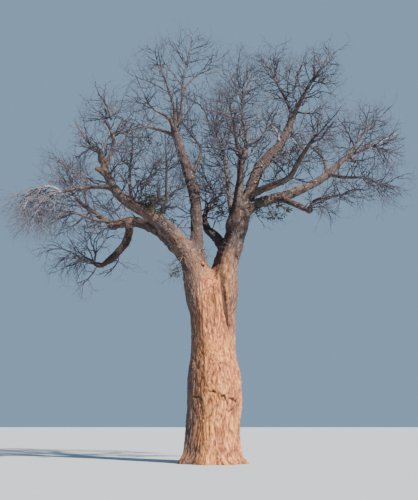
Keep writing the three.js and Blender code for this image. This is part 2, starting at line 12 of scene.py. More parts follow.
import bmesh
import bpy
import numpy as np
from mathutils import Vector
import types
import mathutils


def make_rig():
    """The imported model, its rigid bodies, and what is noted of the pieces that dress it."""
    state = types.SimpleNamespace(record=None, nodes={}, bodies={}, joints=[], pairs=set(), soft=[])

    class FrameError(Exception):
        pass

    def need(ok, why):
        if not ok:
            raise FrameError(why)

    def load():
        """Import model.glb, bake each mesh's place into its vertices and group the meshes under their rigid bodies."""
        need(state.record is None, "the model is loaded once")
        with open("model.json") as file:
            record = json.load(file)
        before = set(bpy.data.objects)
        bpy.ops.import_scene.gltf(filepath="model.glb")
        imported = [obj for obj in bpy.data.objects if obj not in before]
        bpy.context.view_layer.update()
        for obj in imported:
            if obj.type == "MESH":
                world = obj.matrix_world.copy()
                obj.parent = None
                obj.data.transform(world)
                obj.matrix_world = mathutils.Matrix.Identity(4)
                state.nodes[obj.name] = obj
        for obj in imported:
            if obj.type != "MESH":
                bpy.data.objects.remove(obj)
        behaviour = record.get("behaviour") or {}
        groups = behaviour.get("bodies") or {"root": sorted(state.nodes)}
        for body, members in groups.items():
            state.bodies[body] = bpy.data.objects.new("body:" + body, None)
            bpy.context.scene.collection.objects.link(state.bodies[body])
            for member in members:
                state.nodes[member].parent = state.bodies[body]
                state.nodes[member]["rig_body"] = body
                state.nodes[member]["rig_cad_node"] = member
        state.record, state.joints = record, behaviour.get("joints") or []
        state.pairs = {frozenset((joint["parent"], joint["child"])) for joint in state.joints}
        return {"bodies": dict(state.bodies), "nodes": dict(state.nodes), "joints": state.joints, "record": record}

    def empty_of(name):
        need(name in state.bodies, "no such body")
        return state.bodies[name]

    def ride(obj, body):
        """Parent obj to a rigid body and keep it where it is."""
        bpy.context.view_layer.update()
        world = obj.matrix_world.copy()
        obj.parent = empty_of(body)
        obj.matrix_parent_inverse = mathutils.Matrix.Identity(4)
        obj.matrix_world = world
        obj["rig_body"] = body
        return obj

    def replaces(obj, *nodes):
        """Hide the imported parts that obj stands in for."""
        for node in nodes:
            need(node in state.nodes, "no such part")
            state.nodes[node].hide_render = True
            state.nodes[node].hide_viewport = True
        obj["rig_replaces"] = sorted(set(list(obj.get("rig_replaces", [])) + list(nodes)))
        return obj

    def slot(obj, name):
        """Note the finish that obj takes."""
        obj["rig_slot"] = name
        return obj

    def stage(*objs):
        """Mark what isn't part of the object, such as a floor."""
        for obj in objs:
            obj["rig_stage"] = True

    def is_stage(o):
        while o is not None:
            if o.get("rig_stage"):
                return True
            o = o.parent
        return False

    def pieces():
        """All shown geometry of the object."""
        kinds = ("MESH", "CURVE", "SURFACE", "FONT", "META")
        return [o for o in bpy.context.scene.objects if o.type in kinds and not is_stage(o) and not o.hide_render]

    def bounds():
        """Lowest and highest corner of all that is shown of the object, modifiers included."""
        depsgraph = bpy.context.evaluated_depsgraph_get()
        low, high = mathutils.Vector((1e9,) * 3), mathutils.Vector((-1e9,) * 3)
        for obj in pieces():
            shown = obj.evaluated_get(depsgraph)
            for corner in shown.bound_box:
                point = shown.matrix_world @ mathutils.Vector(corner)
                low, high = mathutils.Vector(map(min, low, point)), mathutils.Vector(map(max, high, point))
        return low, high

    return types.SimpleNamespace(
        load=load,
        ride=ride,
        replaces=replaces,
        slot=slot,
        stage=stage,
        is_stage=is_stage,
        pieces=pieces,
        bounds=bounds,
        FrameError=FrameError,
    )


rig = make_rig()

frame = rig.load()
cad_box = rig.bounds()

# The camera. It stands where the picture was taken from.

CAMERA_PLACE = np.array([-0.17, -34.5, 1.6])
CAMERA_RISE = math.radians(12.2)
CAMERA_LENS = 58  # mm
CAMERA_SENSOR = 36  # mm
PICTURE_SIZE = np.array([418, 500])
PIXELS_PER_SLOPE = CAMERA_LENS / CAMERA_SENSOR * PICTURE_SIZE.max()

# The trunk, from foot to fork: height, half width, half depth and centre.

TRUNK_ROWS = np.array([
    (0.0, 1.46, 1.4, -0.06),
    (0.14, 1.34, 1.3, -0.06),
    (0.38, 1.21, 1.2, -0.05),
    (0.75, 1.17, 1.16, -0.04),
    (1.3, 1.13, 1.13, -0.01),
    (2.3, 1.12, 1.12, 0.04),
    (3.2, 1.12, 1.1, 0.04),
    (3.75, 1.09, 1.06, 0.04),
    (4.25, 0.98, 0.98, 0.01),
    (4.7, 0.93, 0.94, 0.0),
    (5.5, 0.92, 0.92, -0.01),
    (6.2, 0.94, 0.88, -0.04),
    (6.9, 0.99, 0.82, -0.06),
    (7.5, 1.06, 0.72, -0.08),
    (7.9, 0.99, 0.6, -0.08),
    (8.1, 0.6, 0.36, -0.06),
])
FOOT_LOBES = 7
FOOT_LOBE_DEPTH = 0.11
FOOT_LOBE_HEIGHT = 0.55
FOOT_LOBE_TURN = 0.6

# The boughs: each a route of x, y, z and radius.

LIMBS = {
    "right_stem": [
        (0.3, 0, 6.8, 0.62), (0.56, 0.05, 8.5, 0.56), (0.9, 0.02, 9.5, 0.46), (1.13, 0, 10.6, 0.42),
        (1.09, -0.1, 11.2, 0.22), (1.2, -0.35, 12.1, 0.16), (1.24, -0.65, 12.85, 0.17),
        (1.32, -0.9, 13.25, 0.22),
    ],
    "upright_bough": [
        (-0.4, 0.05, 6.9, 0.58), (-0.62, 0.02, 8.2, 0.41), (-0.7, 0, 9.1, 0.29),
        (-0.76, 0.15, 11.1, 0.235), (-1.01, 0.3, 12.35, 0.24), (-1.55, 0.5, 14.1, 0.195),
        (-1.78, 0.5, 14.9, 0.15),
    ],
    "upper_left_bough": [
        (-0.5, -0.1, 6.9, 0.56), (-0.85, -0.12, 8.25, 0.5), (-1.2, -0.2, 8.95, 0.4),
        (-1.86, -0.6, 9.77, 0.33), (-2.69, -1.2, 10.35, 0.28), (-3.72, -2, 10.8, 0.225),
        (-4.26, -2.4, 11.4, 0.17), (-4.61, -2.65, 12.4, 0.13),
    ],
    "lower_left_bough": [
        (-0.6, 0.05, 7.7, 0.42), (-1.0, 0.22, 8.56, 0.37), (-1.45, 0.42, 9.12, 0.34),
        (-2.34, 0.9, 10.08, 0.285), (-3.4, 1.3, 10.65, 0.235), (-4.2, 1.5, 10.65, 0.21),
        (-4.65, 1.6, 10.54, 0.18),
    ],
    "leaning_bough": [
        (1.1, 0.02, 10.2, 0.33), (1.36, 0.05, 10.95, 0.28), (1.7, 0.3, 11.9, 0.26),
        (2.08, 0.6, 12.92, 0.25), (2.6, 0.9, 13.65, 0.26), (3.02, 1.1, 14.15, 0.23),
        (3.44, 1.3, 14.95, 0.17), (3.8, 1.5, 15.85, 0.14),
    ],
    "lower_right_bough": [
        (0.95, -0.1, 10.2, 0.34), (1.5, -0.12, 10.86, 0.25), (2.3, -0.1, 11.26, 0.22),
        (3.2, -0.1, 11.49, 0.215), (4.34, 0, 12.01, 0.18), (5.17, 0.1, 12.55, 0.17),
        (5.74, 0.2, 13.14, 0.13), (6.2, 0.3, 13.53, 0.1),
    ],
    "upper_right_bough": [
        (1.52, 0.12, 11.4, 0.17), (1.95, -0.3, 11.62, 0.155), (2.6, -1, 11.72, 0.15),
        (3.25, -1.7, 11.86, 0.12), (3.6, -2.3, 12.4, 0.09), (4, -3, 12.92, 0.066),
    ],
    "slim_bough": [
        (1, 0.12, 10.2, 0.18), (0.83, 0.45, 10.85, 0.115), (0.7, 1.2, 12.5, 0.094),
        (0.52, 2.1, 14.2, 0.082), (0.2, 2.7, 15.3, 0.062),
    ],
    "back_bough": [
        (0.6, 0.25, 9, 0.27), (0.16, 0.8, 9.81, 0.21), (-0.26, 1.5, 10.4, 0.17),
        (-0.36, 2.3, 11.25, 0.115), (0.05, 3.6, 12.45, 0.085),
    ],
    "centre_front_bough": [
        (1.25, -0.8, 13.1, 0.1), (1.02, -1.5, 13.45, 0.068), (0.9, -2.4, 13.95, 0.052),
    ],
    "centre_top_bough": [
        (1.34, -0.86, 13.1, 0.14), (1.52, -0.45, 14, 0.086), (1.4, 0.2, 15.1, 0.068),
        (1.37, 0.7, 15.9, 0.056),
    ],
    "leaning_left_leader": [
        (3.78, 1.48, 15.72, 0.1), (3.67, 1.95, 16.6, 0.08), (3.42, 2.5, 17.5, 0.064),
    ],
    "leaning_right_leader": [
        (3.8, 1.45, 15.78, 0.11), (4.15, 1.2, 16.5, 0.1), (4.52, 0.95, 17.15, 0.085),
    ],
    "right_reach_bough": [
        (6.14, 0.28, 13.48, 0.1), (6.55, 0.3, 13.68, 0.084), (7.1, 0.25, 13.9, 0.064),
    ],
    "right_rising_bough": [
        (6.15, 0.32, 13.5, 0.09), (6.6, 0.8, 14.2, 0.064), (7.06, 1.3, 14.95, 0.054),
    ],
    "right_back_bough": [
        (5.15, 0.12, 12.6, 0.11), (5.15, 1.3, 13.7, 0.064), (4.9, 2.5, 14.6, 0.052),
    ],
    "right_low_bough": [
        (5.2, 0.05, 12.55, 0.1), (5.75, -0.8, 12.13, 0.074), (6.12, -1.55, 11.9, 0.058),
    ],
    "elbow_inner_bough": [
        (2.85, -0.15, 11.4, 0.15), (3.3, -0.6, 11.1, 0.14), (4.16, -1.1, 10.54, 0.12),
    ],
    "elbow_outer_bough": [
        (4.1, -1.08, 10.56, 0.095), (4.35, -1.35, 10.92, 0.074), (4.95, -1.85, 10.96, 0.058),
    ],
    "arch_branch": [
        (-1.7, 0.5, 14.5, 0.1), (-2.3, 1, 14.95, 0.074), (-3, 1.7, 15.38, 0.054),
    ],
    "top_leader": [
        (-1.76, 0.5, 14.78, 0.11), (-1.52, 0.55, 15.4, 0.078), (-1.42, 0.6, 16.4, 0.054),
        (-1.4, 0.65, 17.1, 0.046),
    ],
    "left_leader": [
        (-1.77, 0.48, 14.8, 0.1), (-1.75, 0.2, 15.6, 0.062), (-1.98, -0.15, 16.4, 0.048),
        (-2.2, -0.45, 17, 0.04),
    ],
    "left_low_leader": [
        (-1.79, 0.42, 14.85, 0.09), (-2.03, 0, 15.2, 0.068), (-2.48, -0.8, 15.2, 0.046),
    ],
    "right_leader": [
        (-1.42, 0.62, 16.6, 0.046), (-1.1, 1.05, 17.4, 0.042), (-0.72, 1.45, 17.95, 0.036),
    ],
    "inner_bough": [
        (-0.98, 0.32, 12.5, 0.11), (-0.57, 0.95, 13.76, 0.06), (-0.64, 1.5, 14.46, 0.054),
        (-0.97, 1.95, 15.04, 0.046),
    ],
    "left_reach_bough": [
        (-4.2, -2.32, 11.22, 0.12), (-4.87, -2.6, 11.15, 0.078), (-5.5, -2.8, 11.02, 0.068),
        (-6.2, -3, 10.84, 0.056),
    ],
    "left_twin_bough": [
        (-4.54, -2.6, 11.95, 0.11), (-4.24, -2.72, 12.55, 0.08), (-4.14, -2.8, 13.2, 0.064),
        (-4.38, -2.75, 13.8, 0.054),
    ],
    "left_front_bough": [
        (-3.38, -1.65, 10.66, 0.1), (-3.48, -2.2, 11.32, 0.06), (-3.4, -2.9, 11.79, 0.05),
    ],
    "inner_left_bough": [
        (-2.4, -1, 10.15, 0.11), (-2.03, -1.5, 10.8, 0.064), (-1.95, -2.3, 11.6, 0.052),
    ],
    "back_reach_bough": [
        (-4.55, 1.58, 10.56, 0.15), (-5.29, 1.95, 11.09, 0.12), (-6.09, 2.5, 11.74, 0.095),
        (-6.56, 3, 12.25, 0.07),
    ],
    "low_reach_bough": [
        (-4.85, 1.68, 10.78, 0.09), (-5.4, 1.35, 10.75, 0.062), (-6, 0.95, 10.9, 0.05),
    ],
    "hanging_limb_upper": [
        (-3.84, 1.35, 10.6, 0.19), (-3.82, 1.15, 10.1, 0.175), (-3.95, 0.9, 9.56, 0.18),
        (-4.23, 0.6, 9.08, 0.155), (-4.6, 0.4, 8.66, 0.13),
    ],
    "hanging_limb_lower": [
        (-4.56, 0.42, 8.7, 0.11), (-4.95, 0.2, 8.4, 0.105), (-5.35, 0, 8.57, 0.08),
    ],
}

# The masses of twigs: the bough that each grows on, a seed, the centre and half sizes of
# its space, and how strongly its twigs rise.

MASSES = {
    "left_reach_twigs": ("left_reach_bough", 11, (-7.35, -3.1, 9.85), (1.4, 1.8, 1.4), -0.7),
    "left_knuckle_twigs": ("upper_left_bough", 36, (-5.2, -3.1, 12.95), (1.0, 1.6, 1.15), 0.2),
    "upper_left_twigs": ("left_twin_bough", 12, (-4.5, -2.6, 14.3), (1.35, 1.7, 1.2), 0.2),
    "left_front_twigs": ("left_front_bough", 13, (-3.2, -3.9, 12.5), (1.1, 1.7, 1.3), 0.25),
    "inner_left_twigs": ("inner_left_bough", 14, (-1.9, -3.4, 12.2), (1.1, 1.7, 1.4), 0.3),
    "back_reach_twigs": ("back_reach_bough", 15, (-7.1, 3.2, 13.7), (1.7, 1.9, 1.3), 0.2),
    "low_reach_twigs": ("low_reach_bough", 16, (-6.9, 0.6, 10.6), (1.4, 1.7, 1.2), -0.2),
    "hanging_twigs": ("hanging_limb_lower", 17, (-5.85, -0.5, 8.55), (1.5, 1.5, 1.15), 0.0),
    "arch_twigs": ("arch_branch", 18, (-3.7, 2.8, 16.1), (1.4, 1.8, 1.3), 0.1),
    "left_low_twigs": ("left_low_leader", 19, (-3.1, -1.8, 15.8), (1.15, 1.6, 1.15), 0.3),
    "left_top_twigs": ("left_leader", 20, (-2.4, -0.8, 17.7), (1.15, 1.6, 1.2), 0.4),
    "top_twigs": ("top_leader", 21, (-1.05, 0.8, 18.65), (1.25, 1.6, 1.6), 0.45),
    "right_leader_twigs": ("right_leader", 22, (0.0, 1.9, 18.2), (1.0, 1.6, 1.3), 0.3),
    "inner_twigs": ("inner_bough", 23, (-1.2, 2.7, 16.6), (1.4, 1.8, 1.5), 0.3),
    "back_twigs": ("back_bough", 24, (-0.4, 4.3, 13.7), (1.6, 1.9, 1.7), 0.3),
    "slim_twigs": ("slim_bough", 25, (0.3, 3.5, 17.0), (1.3, 1.8, 1.8), 0.4),
    "centre_front_twigs": ("centre_front_bough", 26, (0.7, -3.5, 14.1), (1.3, 1.9, 1.4), 0.3),
    "centre_top_twigs": ("centre_top_bough", 27, (1.5, 1.0, 17.6), (1.2, 1.7, 1.7), 0.45),
    "leaning_left_twigs": ("leaning_left_leader", 28, (3.1, 3.2, 18.9), (1.4, 1.8, 1.5), 0.4),
    "leaning_right_twigs": ("leaning_right_leader", 29, (4.95, 0.7, 17.6), (1.35, 1.7, 1.6), 0.35),
    "upper_right_twigs": ("upper_right_bough", 30, (4.5, -3.8, 13.3), (1.35, 1.8, 1.4), 0.3),
    "right_reach_twigs": ("right_reach_bough", 31, (7.8, 0.1, 13.7), (1.05, 1.6, 1.4), 0.1),
    "right_rising_twigs": ("right_rising_bough", 32, (7.4, 1.8, 15.6), (1.45, 1.7, 1.25), 0.25),
    "right_back_twigs": ("right_back_bough", 33, (5.1, 3.8, 16.0), (1.6, 1.8, 1.6), 0.25),
    "right_low_twigs": ("right_low_bough", 34, (6.8, -2.5, 11.4), (1.3, 1.7, 1.0), 0.0),
    "elbow_twigs": ("elbow_outer_bough", 35, (5.4, -2.9, 10.75), (1.15, 1.6, 0.95), 0.1),
}

# Knobs and side boughs that show from the front: the depths and the radii at both ends,
# in metres, and the path of each in pixels of a picture of 418 by 500.

KNOBS = {
    "knuckle_end": (-2.6, -2.9, 0.12, 0.1, [(101, 160), (100.5, 154), (101.5, 150)]),
    "knob": (-2.55, -2.7, 0.12, 0.085, [(103.5, 173), (99.5, 170), (95.5, 168)]),
    "knob_right": (0.27, 0.3, 0.085, 0.085, [(349.5, 155), (353.2, 160.2), (356, 161.4)]),
}
SIDE_BOUGHS = {
    "top_stub": (0.6, 0.5, 0.055, 0.045, [(178.5, 124), (177.3, 113), (177.1, 97)]),
    "top_second": (0.62, 0, 0.04, 0.016, [(182.3, 88), (179, 80), (171.7, 71.7), (166.7, 65.8),
        (162.5, 59.2), (158.3, 50)]),
    "left_leader_end": (-0.45, -1.2, 0.036, 0.014, [(164.3, 78), (161.2, 70.8), (158.3, 65),
        (156.8, 59.2), (155.7, 52.5), (156.5, 41)]),
    "left_leader_low": (-0.2, -1.3, 0.036, 0.012, [(168.5, 91.7), (155.8, 85), (149.2, 81.7),
        (142.5, 79.2), (135.8, 76.7), (130, 74.2), (125.5, 70.8)]),
    "left_leader_side": (-0.35, -1.5, 0.024, 0.01, [(164, 77.5), (158.3, 75.8), (151.7, 73.3),
        (145, 71.3), (141.7, 70)]),
    "left_leader_tip_side": (-1, -0.6, 0.022, 0.01, [(155.8, 52.5), (150.8, 50), (147.5, 47),
        (144, 44.6)]),
    "top_left_side": (0.62, 1.3, 0.03, 0.012, [(186.6, 64), (181.7, 58.3), (179.2, 53.3),
        (175, 50.8), (170, 49.2)]),
    "top_left_twin": (0.9, 0.5, 0.016, 0.01, [(179.2, 53.3), (176.5, 48), (173.3, 42.5)]),
    "top_high_left": (0.65, 0, 0.02, 0.01, [(189.5, 53.3), (185.8, 50), (182.5, 45.8),
        (179.2, 42.5), (176.7, 39.2)]),
    "top_end": (0.64, 0.75, 0.042, 0.014, [(182.7, 84), (184, 76), (187, 62), (190, 50),
        (191.5, 42), (192.6, 34)]),
    "top_end_left": (0.74, 0.6, 0.014, 0.01, [(192.6, 34.5), (190.4, 31), (189.2, 27.8)]),
    "top_end_right": (0.74, 1, 0.014, 0.01, [(192.6, 34.5), (196, 30.5), (198.5, 26.8)]),
    "top_right_high": (0.7, 1.5, 0.018, 0.01, [(192, 40.8), (197.5, 36.7), (201.7, 34.2),
        (208.3, 30.4)]),
    "top_right_mid": (0.68, -0.2, 0.02, 0.01, [(190.5, 50), (195.8, 48.3), (201.7, 45.8),
        (206.7, 44.2), (212.5, 41.7)]),
    "top_right_low": (0.66, 1.4, 0.016, 0.01, [(189.6, 54.2), (195, 52.9), (201.7, 52.5),
        (208.3, 49.6)]),
    "top_right_lower": (0.66, -0.1, 0.015, 0.01, [(187.5, 61.7), (194.2, 61.7), (200, 60),
        (207.5, 59.2)]),
    "right_leader_end": (1.45, 2.1, 0.034, 0.014, [(197, 74.8), (203.3, 69.6), (208.3, 65),
        (211.7, 62.5), (216.7, 60.8), (222.5, 56.7), (226, 55)]),
    "right_leader_fork": (1.75, 1.3, 0.02, 0.01, [(211, 62.9), (211.7, 57.5), (213.8, 52.5)]),
    "leader_cross": (-0.1, 0.5, 0.022, 0.018, [(172, 94.4), (176, 91.6), (181.6, 88.6)]),
    "left_low_end": (-0.8, -1.8, 0.04, 0.014, [(157.5, 111.2), (150.4, 106.2), (147.9, 102.5),
        (146.2, 99.6), (143.3, 95)]),
    "left_low_side": (-1.3, -0.6, 0.026, 0.012, [(148.4, 103.3), (143.3, 103.3), (138.3, 102.5),
        (135, 99.2), (131.7, 94.2)]),
    "left_low_tip": (-1, -1.6, 0.016, 0.01, [(138.3, 102.5), (131.7, 101.7), (126.7, 101)]),
    "arch_end": (1.65, 2.4, 0.05, 0.03, [(151, 127.4), (144, 127.5), (138, 128), (134, 130),
        (127, 131), (120, 134)]),
    "arch_rising": (1.7, 1.2, 0.02, 0.01, [(150.5, 127.3), (148, 118), (145, 110), (146, 103)]),
    "tuft_high": (-2.75, -3.4, 0.054, 0.018, [(111.7, 120), (109.2, 111.7), (107.1, 106.7),
        (104.2, 101.7), (101.2, 96.7), (96.7, 94.2)]),
    "tuft_high_right": (-3, -2.2, 0.02, 0.01, [(107, 106.7), (111, 102), (116, 101)]),
    "tuft_left": (-2.75, -2, 0.045, 0.014, [(109.5, 126), (104.2, 117.5), (100.8, 113.3),
        (96.7, 110.8), (92.5, 107.5)]),
    "tuft_right": (-2.7, -2.1, 0.05, 0.018, [(111, 136), (118, 130), (124, 122), (120, 117),
        (114, 118)]),
    "tuft_low": (-2.7, -3.3, 0.04, 0.014, [(112.5, 137), (121, 133), (129, 133), (137, 138),
        (144, 146), (150, 152)]),
    "tuft_middle": (-2.9, -3.4, 0.03, 0.012, [(121, 126), (127, 127), (133, 131), (138, 136),
        (142, 144)]),
    "knuckle_rise": (-2.85, -3.4, 0.06, 0.03, [(101.5, 152), (104, 146), (108, 139), (110, 131)]),
    "knuckle_right": (-2.85, -2.2, 0.03, 0.012, [(105, 150), (112, 149), (121, 149), (130, 150),
        (139, 155)]),
    "knuckle_left": (-2.9, -3.6, 0.025, 0.01, [(100.5, 153), (97, 143), (92, 138), (87, 137)]),
    "front_fork": (-2.9, -3.3, 0.045, 0.018, [(130, 171), (129.2, 167), (124.2, 162),
        (118.3, 158.8), (114.2, 156.2)]),
    "front_fork_right": (-2.9, -2.3, 0.03, 0.012, [(130, 171), (134, 165), (136, 157),
        (141, 149)]),
    "front_right": (-1.5, -2.2, 0.05, 0.022, [(138, 207), (140.5, 193), (144.2, 185),
        (149.2, 177.5), (152.5, 169.2), (160, 160), (163.3, 153.3)]),
    "front_right_side": (-1.9, -2.6, 0.028, 0.012, [(149.5, 177), (153, 175), (158, 170),
        (163, 168)]),
    "dead_stick": (-2.45, -2.1, 0.045, 0.035, [(129.8, 183.4), (125.8, 180.8), (121, 175),
        (115.8, 169.2)]),
    "reach_arch": (-3, -3.5, 0.055, 0.02, [(60.5, 192), (57.5, 189.2), (52.5, 187.1),
        (46.7, 186.5), (40.8, 187.1), (36, 190), (31, 195), (26, 204), (22, 214)]),
    "reach_second": (-3, -2.2, 0.04, 0.016, [(60.8, 192.5), (52.5, 190.8), (45, 194.2),
        (38.3, 196.7), (33.3, 201.7), (29, 210), (26, 222)]),
    "reach_far": (-3.2, -3.9, 0.03, 0.01, [(40.8, 187.1), (32, 191), (24, 195), (15, 196),
        (6, 197)]),
    "reach_third": (2.9, 2.2, 0.045, 0.018, [(76.5, 198.5), (71.7, 197.5), (65.8, 195.4),
        (59.2, 194), (50, 196), (42, 201), (37, 210), (34, 222)]),
    "reach_fourth": (2.5, 3.2, 0.05, 0.018, [(84, 206.5), (75, 205.8), (67.5, 204.6),
        (61.7, 203.3), (55, 204.2), (50.8, 208.3), (45, 214), (41, 223)]),
    "reach_fifth": (0.95, 0.2, 0.045, 0.018, [(78.5, 213.2), (71.7, 210.8), (66.7, 210.8),
        (61.7, 213.3), (57.5, 217.5), (53, 226)]),
    "reach_down": (2.9, 2.6, 0.03, 0.012, [(55.8, 204.2), (57.1, 211.7), (57.9, 217.5),
        (58.8, 224.2), (59.2, 229)]),
    "fan_main": (2.95, 3.6, 0.06, 0.022, [(76.2, 198.8), (73.3, 195), (71.7, 190), (70.8, 180),
        (67, 171), (65.8, 165.8), (66.7, 160)]),
    "fan_left": (3.3, 2.6, 0.028, 0.01, [(67.2, 172), (63.3, 165), (58.3, 160), (54.2, 155),
        (50, 151.7)]),
    "fan_right": (3.2, 4, 0.025, 0.01, [(70.9, 181), (76.7, 178.3), (80, 172.5), (83.3, 166.7)]),
    "fan_low": (3.2, 2.4, 0.025, 0.01, [(70.9, 183), (63, 179), (55, 175), (47, 174), (40, 172)]),
    "hang_rise": (0.02, -0.5, 0.055, 0.02, [(94.5, 261.5), (95.4, 255), (94.2, 249.2),
        (91.7, 243.3), (90.4, 236)]),
    "hang_left": (0, 0.7, 0.05, 0.014, [(92.5, 261), (83.3, 258.8), (78.3, 256.2), (71.7, 252.5),
        (65, 249.6), (58.3, 248.3), (50.8, 250), (45, 254.2)]),
    "hang_arc": (-0.1, 0.6, 0.03, 0.012, [(95.2, 254.2), (100.8, 246.7), (105, 240.8),
        (110, 236.7), (115.8, 235), (120.8, 238.3)]),
    "hang_down_left": (0.3, -0.5, 0.022, 0.01, [(71.7, 252.5), (65, 257.5), (59.2, 261.7),
        (54.2, 268.3)]),
    "hang_droop": (0.1, -0.6, 0.024, 0.01, [(83.3, 258.8), (76.7, 263.3), (74.2, 270),
        (73.3, 274)]),
    "hang_droop_right": (0.05, 0.8, 0.022, 0.01, [(90, 260.6), (86, 264), (84, 270),
        (84.5, 276)]),
    "hang_right": (0.3, -0.4, 0.018, 0.009, [(108, 263.6), (115.8, 260.8), (120.8, 263.3),
        (125, 266.7), (128.3, 269.2)]),
    "back_fork": (2.6, 2, 0.06, 0.035, [(208.6, 208), (206.7, 202.5), (201.7, 198.3),
        (197.5, 193), (197, 186)]),
    "back_fork_high": (2.2, 3, 0.03, 0.012, [(201.7, 198.3), (203, 191), (202.5, 186),
        (199, 180)]),
    "crossing": (-0.62, 0.1, 0.055, 0.05, [(162.5, 212), (165, 203), (169.2, 196.2), (177.5, 190),
        (187, 184.8)]),
    "bridge": (-0.3, 0.1, 0.03, 0.028, [(172, 226.5), (180, 227), (186, 227.6), (192, 228)]),
    "bridge_twig": (-0.1, -0.2, 0.012, 0.01, [(184.6, 227.6), (185, 231), (185.6, 235)]),
    "centre_left": (-0.9, -1.4, 0.055, 0.022, [(243, 150), (238.3, 143), (236.2, 138),
        (234.5, 128), (233, 118)]),
    "centre_pale": (-0.9, -1.3, 0.05, 0.03, [(246, 148), (243.3, 140), (238.3, 134.2),
        (233.3, 130), (227, 124)]),
    "pale_stub": (1.15, 0.75, 0.085, 0.03, [(281.5, 147), (279, 140.5), (277.3, 133), (273, 127),
        (269.5, 124)]),
    "centre_right_end": (-0.5, 0.4, 0.03, 0.012, [(262, 133.7), (268, 128), (275.8, 122.8),
        (281, 119.5), (287, 117.5)]),
    "centre_right_high": (-0.4, -1.2, 0.026, 0.012, [(266, 130.5), (268, 120.5), (273.6, 111.7),
        (277, 106)]),
    "centre_right_low": (-0.7, -1.6, 0.028, 0.012, [(252, 147), (257.5, 146), (262, 149), (267, 146),
        (270, 141)]),
    "stem_left_twig": (-0.5, -1.3, 0.024, 0.01, [(241, 171), (236, 165), (234, 158), (228, 152)]),
    "stem_right_twig": (-0.4, -1.2, 0.026, 0.01, [(247, 176), (253, 170), (255, 162), (260, 156)]),
    "stem_high_twig": (-0.6, 0.4, 0.026, 0.01, [(246, 158), (253, 155), (258, 158), (264, 153)]),
    "lean_left_twig": (0.3, -0.6, 0.03, 0.012, [(264, 165), (259, 158), (259, 150), (262, 141)]),
    "lean_under": (0.4, -0.5, 0.03, 0.012, [(262.5, 169), (264.5, 178), (262, 186), (264, 192)]),
    "lean_under_right": (0.6, 1.4, 0.026, 0.012, [(268, 163), (274, 170), (276, 178), (281, 182)]),
    "right_between": (-0.3, -1, 0.026, 0.012, [(283, 185), (287, 180), (294, 178), (300, 172),
        (304, 166)]),
    "right_between_high": (0.4, 1.2, 0.026, 0.012, [(276, 158), (284, 156), (290, 160), (296, 158)]),
    "stem_back_twig": (0.6, 1.6, 0.028, 0.012, [(229, 196), (224, 186), (226, 176), (221, 168)]),
    "back_right_twig": (2.2, 1.2, 0.026, 0.012, [(207, 206), (213, 200), (220, 196), (224, 188)]),
    "back_low_twig": (1.5, 0.9, 0.024, 0.01, [(212, 230), (215, 222), (218, 215), (223, 209)]),
    "back_left_twig": (2.6, 3.4, 0.026, 0.012, [(200, 197), (194, 190), (189, 184), (186, 176)]),
    "reach_between": (-2.1, -1.4, 0.026, 0.01, [(111, 199), (104, 206), (98, 205), (92, 209)]),
    "left_between": (-1.6, -0.8, 0.026, 0.01, [(120, 208), (113, 212), (106, 208), (101, 199)]),
    "web_left": (-1.8, -2.6, 0.036, 0.012, [(131, 204), (136, 196), (138, 187), (143, 179),
        (146, 170)]),
    "web_middle": (-1.6, -0.9, 0.036, 0.012, [(137, 208), (139, 199), (145, 192), (146, 183),
        (152, 174)]),
    "web_right": (-1.2, -0.5, 0.034, 0.012, [(150, 216), (152, 206), (158, 197), (157, 186),
        (162, 176)]),
    "web_low": (-2, -1.5, 0.028, 0.01, [(124, 201), (120, 206), (116, 210), (111, 212)]),
    "web_under": (-2.2, -2.9, 0.026, 0.01, [(117, 193), (112, 199), (110, 206), (104, 210)]),
    "web_bough": (1.3, 0.8, 0.03, 0.01, [(138, 221), (133, 214), (127, 211), (122, 205)]),
    "web_bough_left": (1.5, 2.1, 0.03, 0.01, [(121, 222), (118, 216), (114, 212), (112, 205)]),
    "web_inner": (-1.7, -1.2, 0.026, 0.01, [(165, 198), (170, 190), (171, 183), (176, 176)]),
    "web_inner_left": (-1.4, -2, 0.026, 0.01, [(163, 207), (158, 200), (160, 191), (156, 183)]),
    "right_fill": (-1, -0.2, 0.03, 0.012, [(273, 184), (276, 176), (281, 170), (284, 163),
        (290, 158)]),
    "right_fill_left": (0.5, -0.3, 0.028, 0.01, [(257, 175), (263, 180), (268, 181), (274, 178)]),
    "right_fill_low": (-0.1, 0.5, 0.028, 0.01, [(285, 195), (286, 188), (292, 183), (297, 180)]),
    "middle_main": (0.7, 1.1, 0.05, 0.016, [(242, 110), (243.5, 100), (243, 93), (239, 82),
        (237.5, 74), (238, 65), (239, 56)]),
    "middle_right": (0.95, 1.8, 0.03, 0.012, [(243, 93), (247, 85), (252, 79), (258, 72),
        (262, 66)]),
    "middle_left": (0.9, 0.1, 0.03, 0.012, [(243.2, 97), (236, 92), (230, 84), (226, 76),
        (221, 68)]),
    "middle_left_low": (0.75, -0.4, 0.03, 0.012, [(243, 104), (235, 101), (229, 95), (224, 88),
        (218, 84)]),
    "middle_right_low": (0.75, -0.2, 0.028, 0.012, [(242.5, 106), (249, 100), (254, 96), (261, 92)]),
    "centre_right": (-0.9, -0.4, 0.055, 0.022, [(250, 146), (253.3, 140.8), (260.8, 135),
        (265.8, 130.8), (272, 126)]),
    "slim_left": (1.9, 1.2, 0.05, 0.018, [(222.6, 151.5), (218.3, 142.5), (215, 135),
        (211.7, 129), (206, 114), (201, 106), (194, 101), (187, 97)]),
    "slim_right": (1.9, 2.6, 0.045, 0.018, [(223.4, 152), (228.3, 140), (230, 132.5), (226, 118),
        (220.5, 105), (219, 94)]),
    "slim_low": (1.6, 0.9, 0.03, 0.014, [(224.4, 164), (220, 155), (213, 148), (208, 140)]),
    "pale_branch": (0.95, -2.3, 0.06, 0.045, [(273, 155), (282.3, 153.6), (291.4, 151.8),
        (298.6, 150), (306, 146)]),
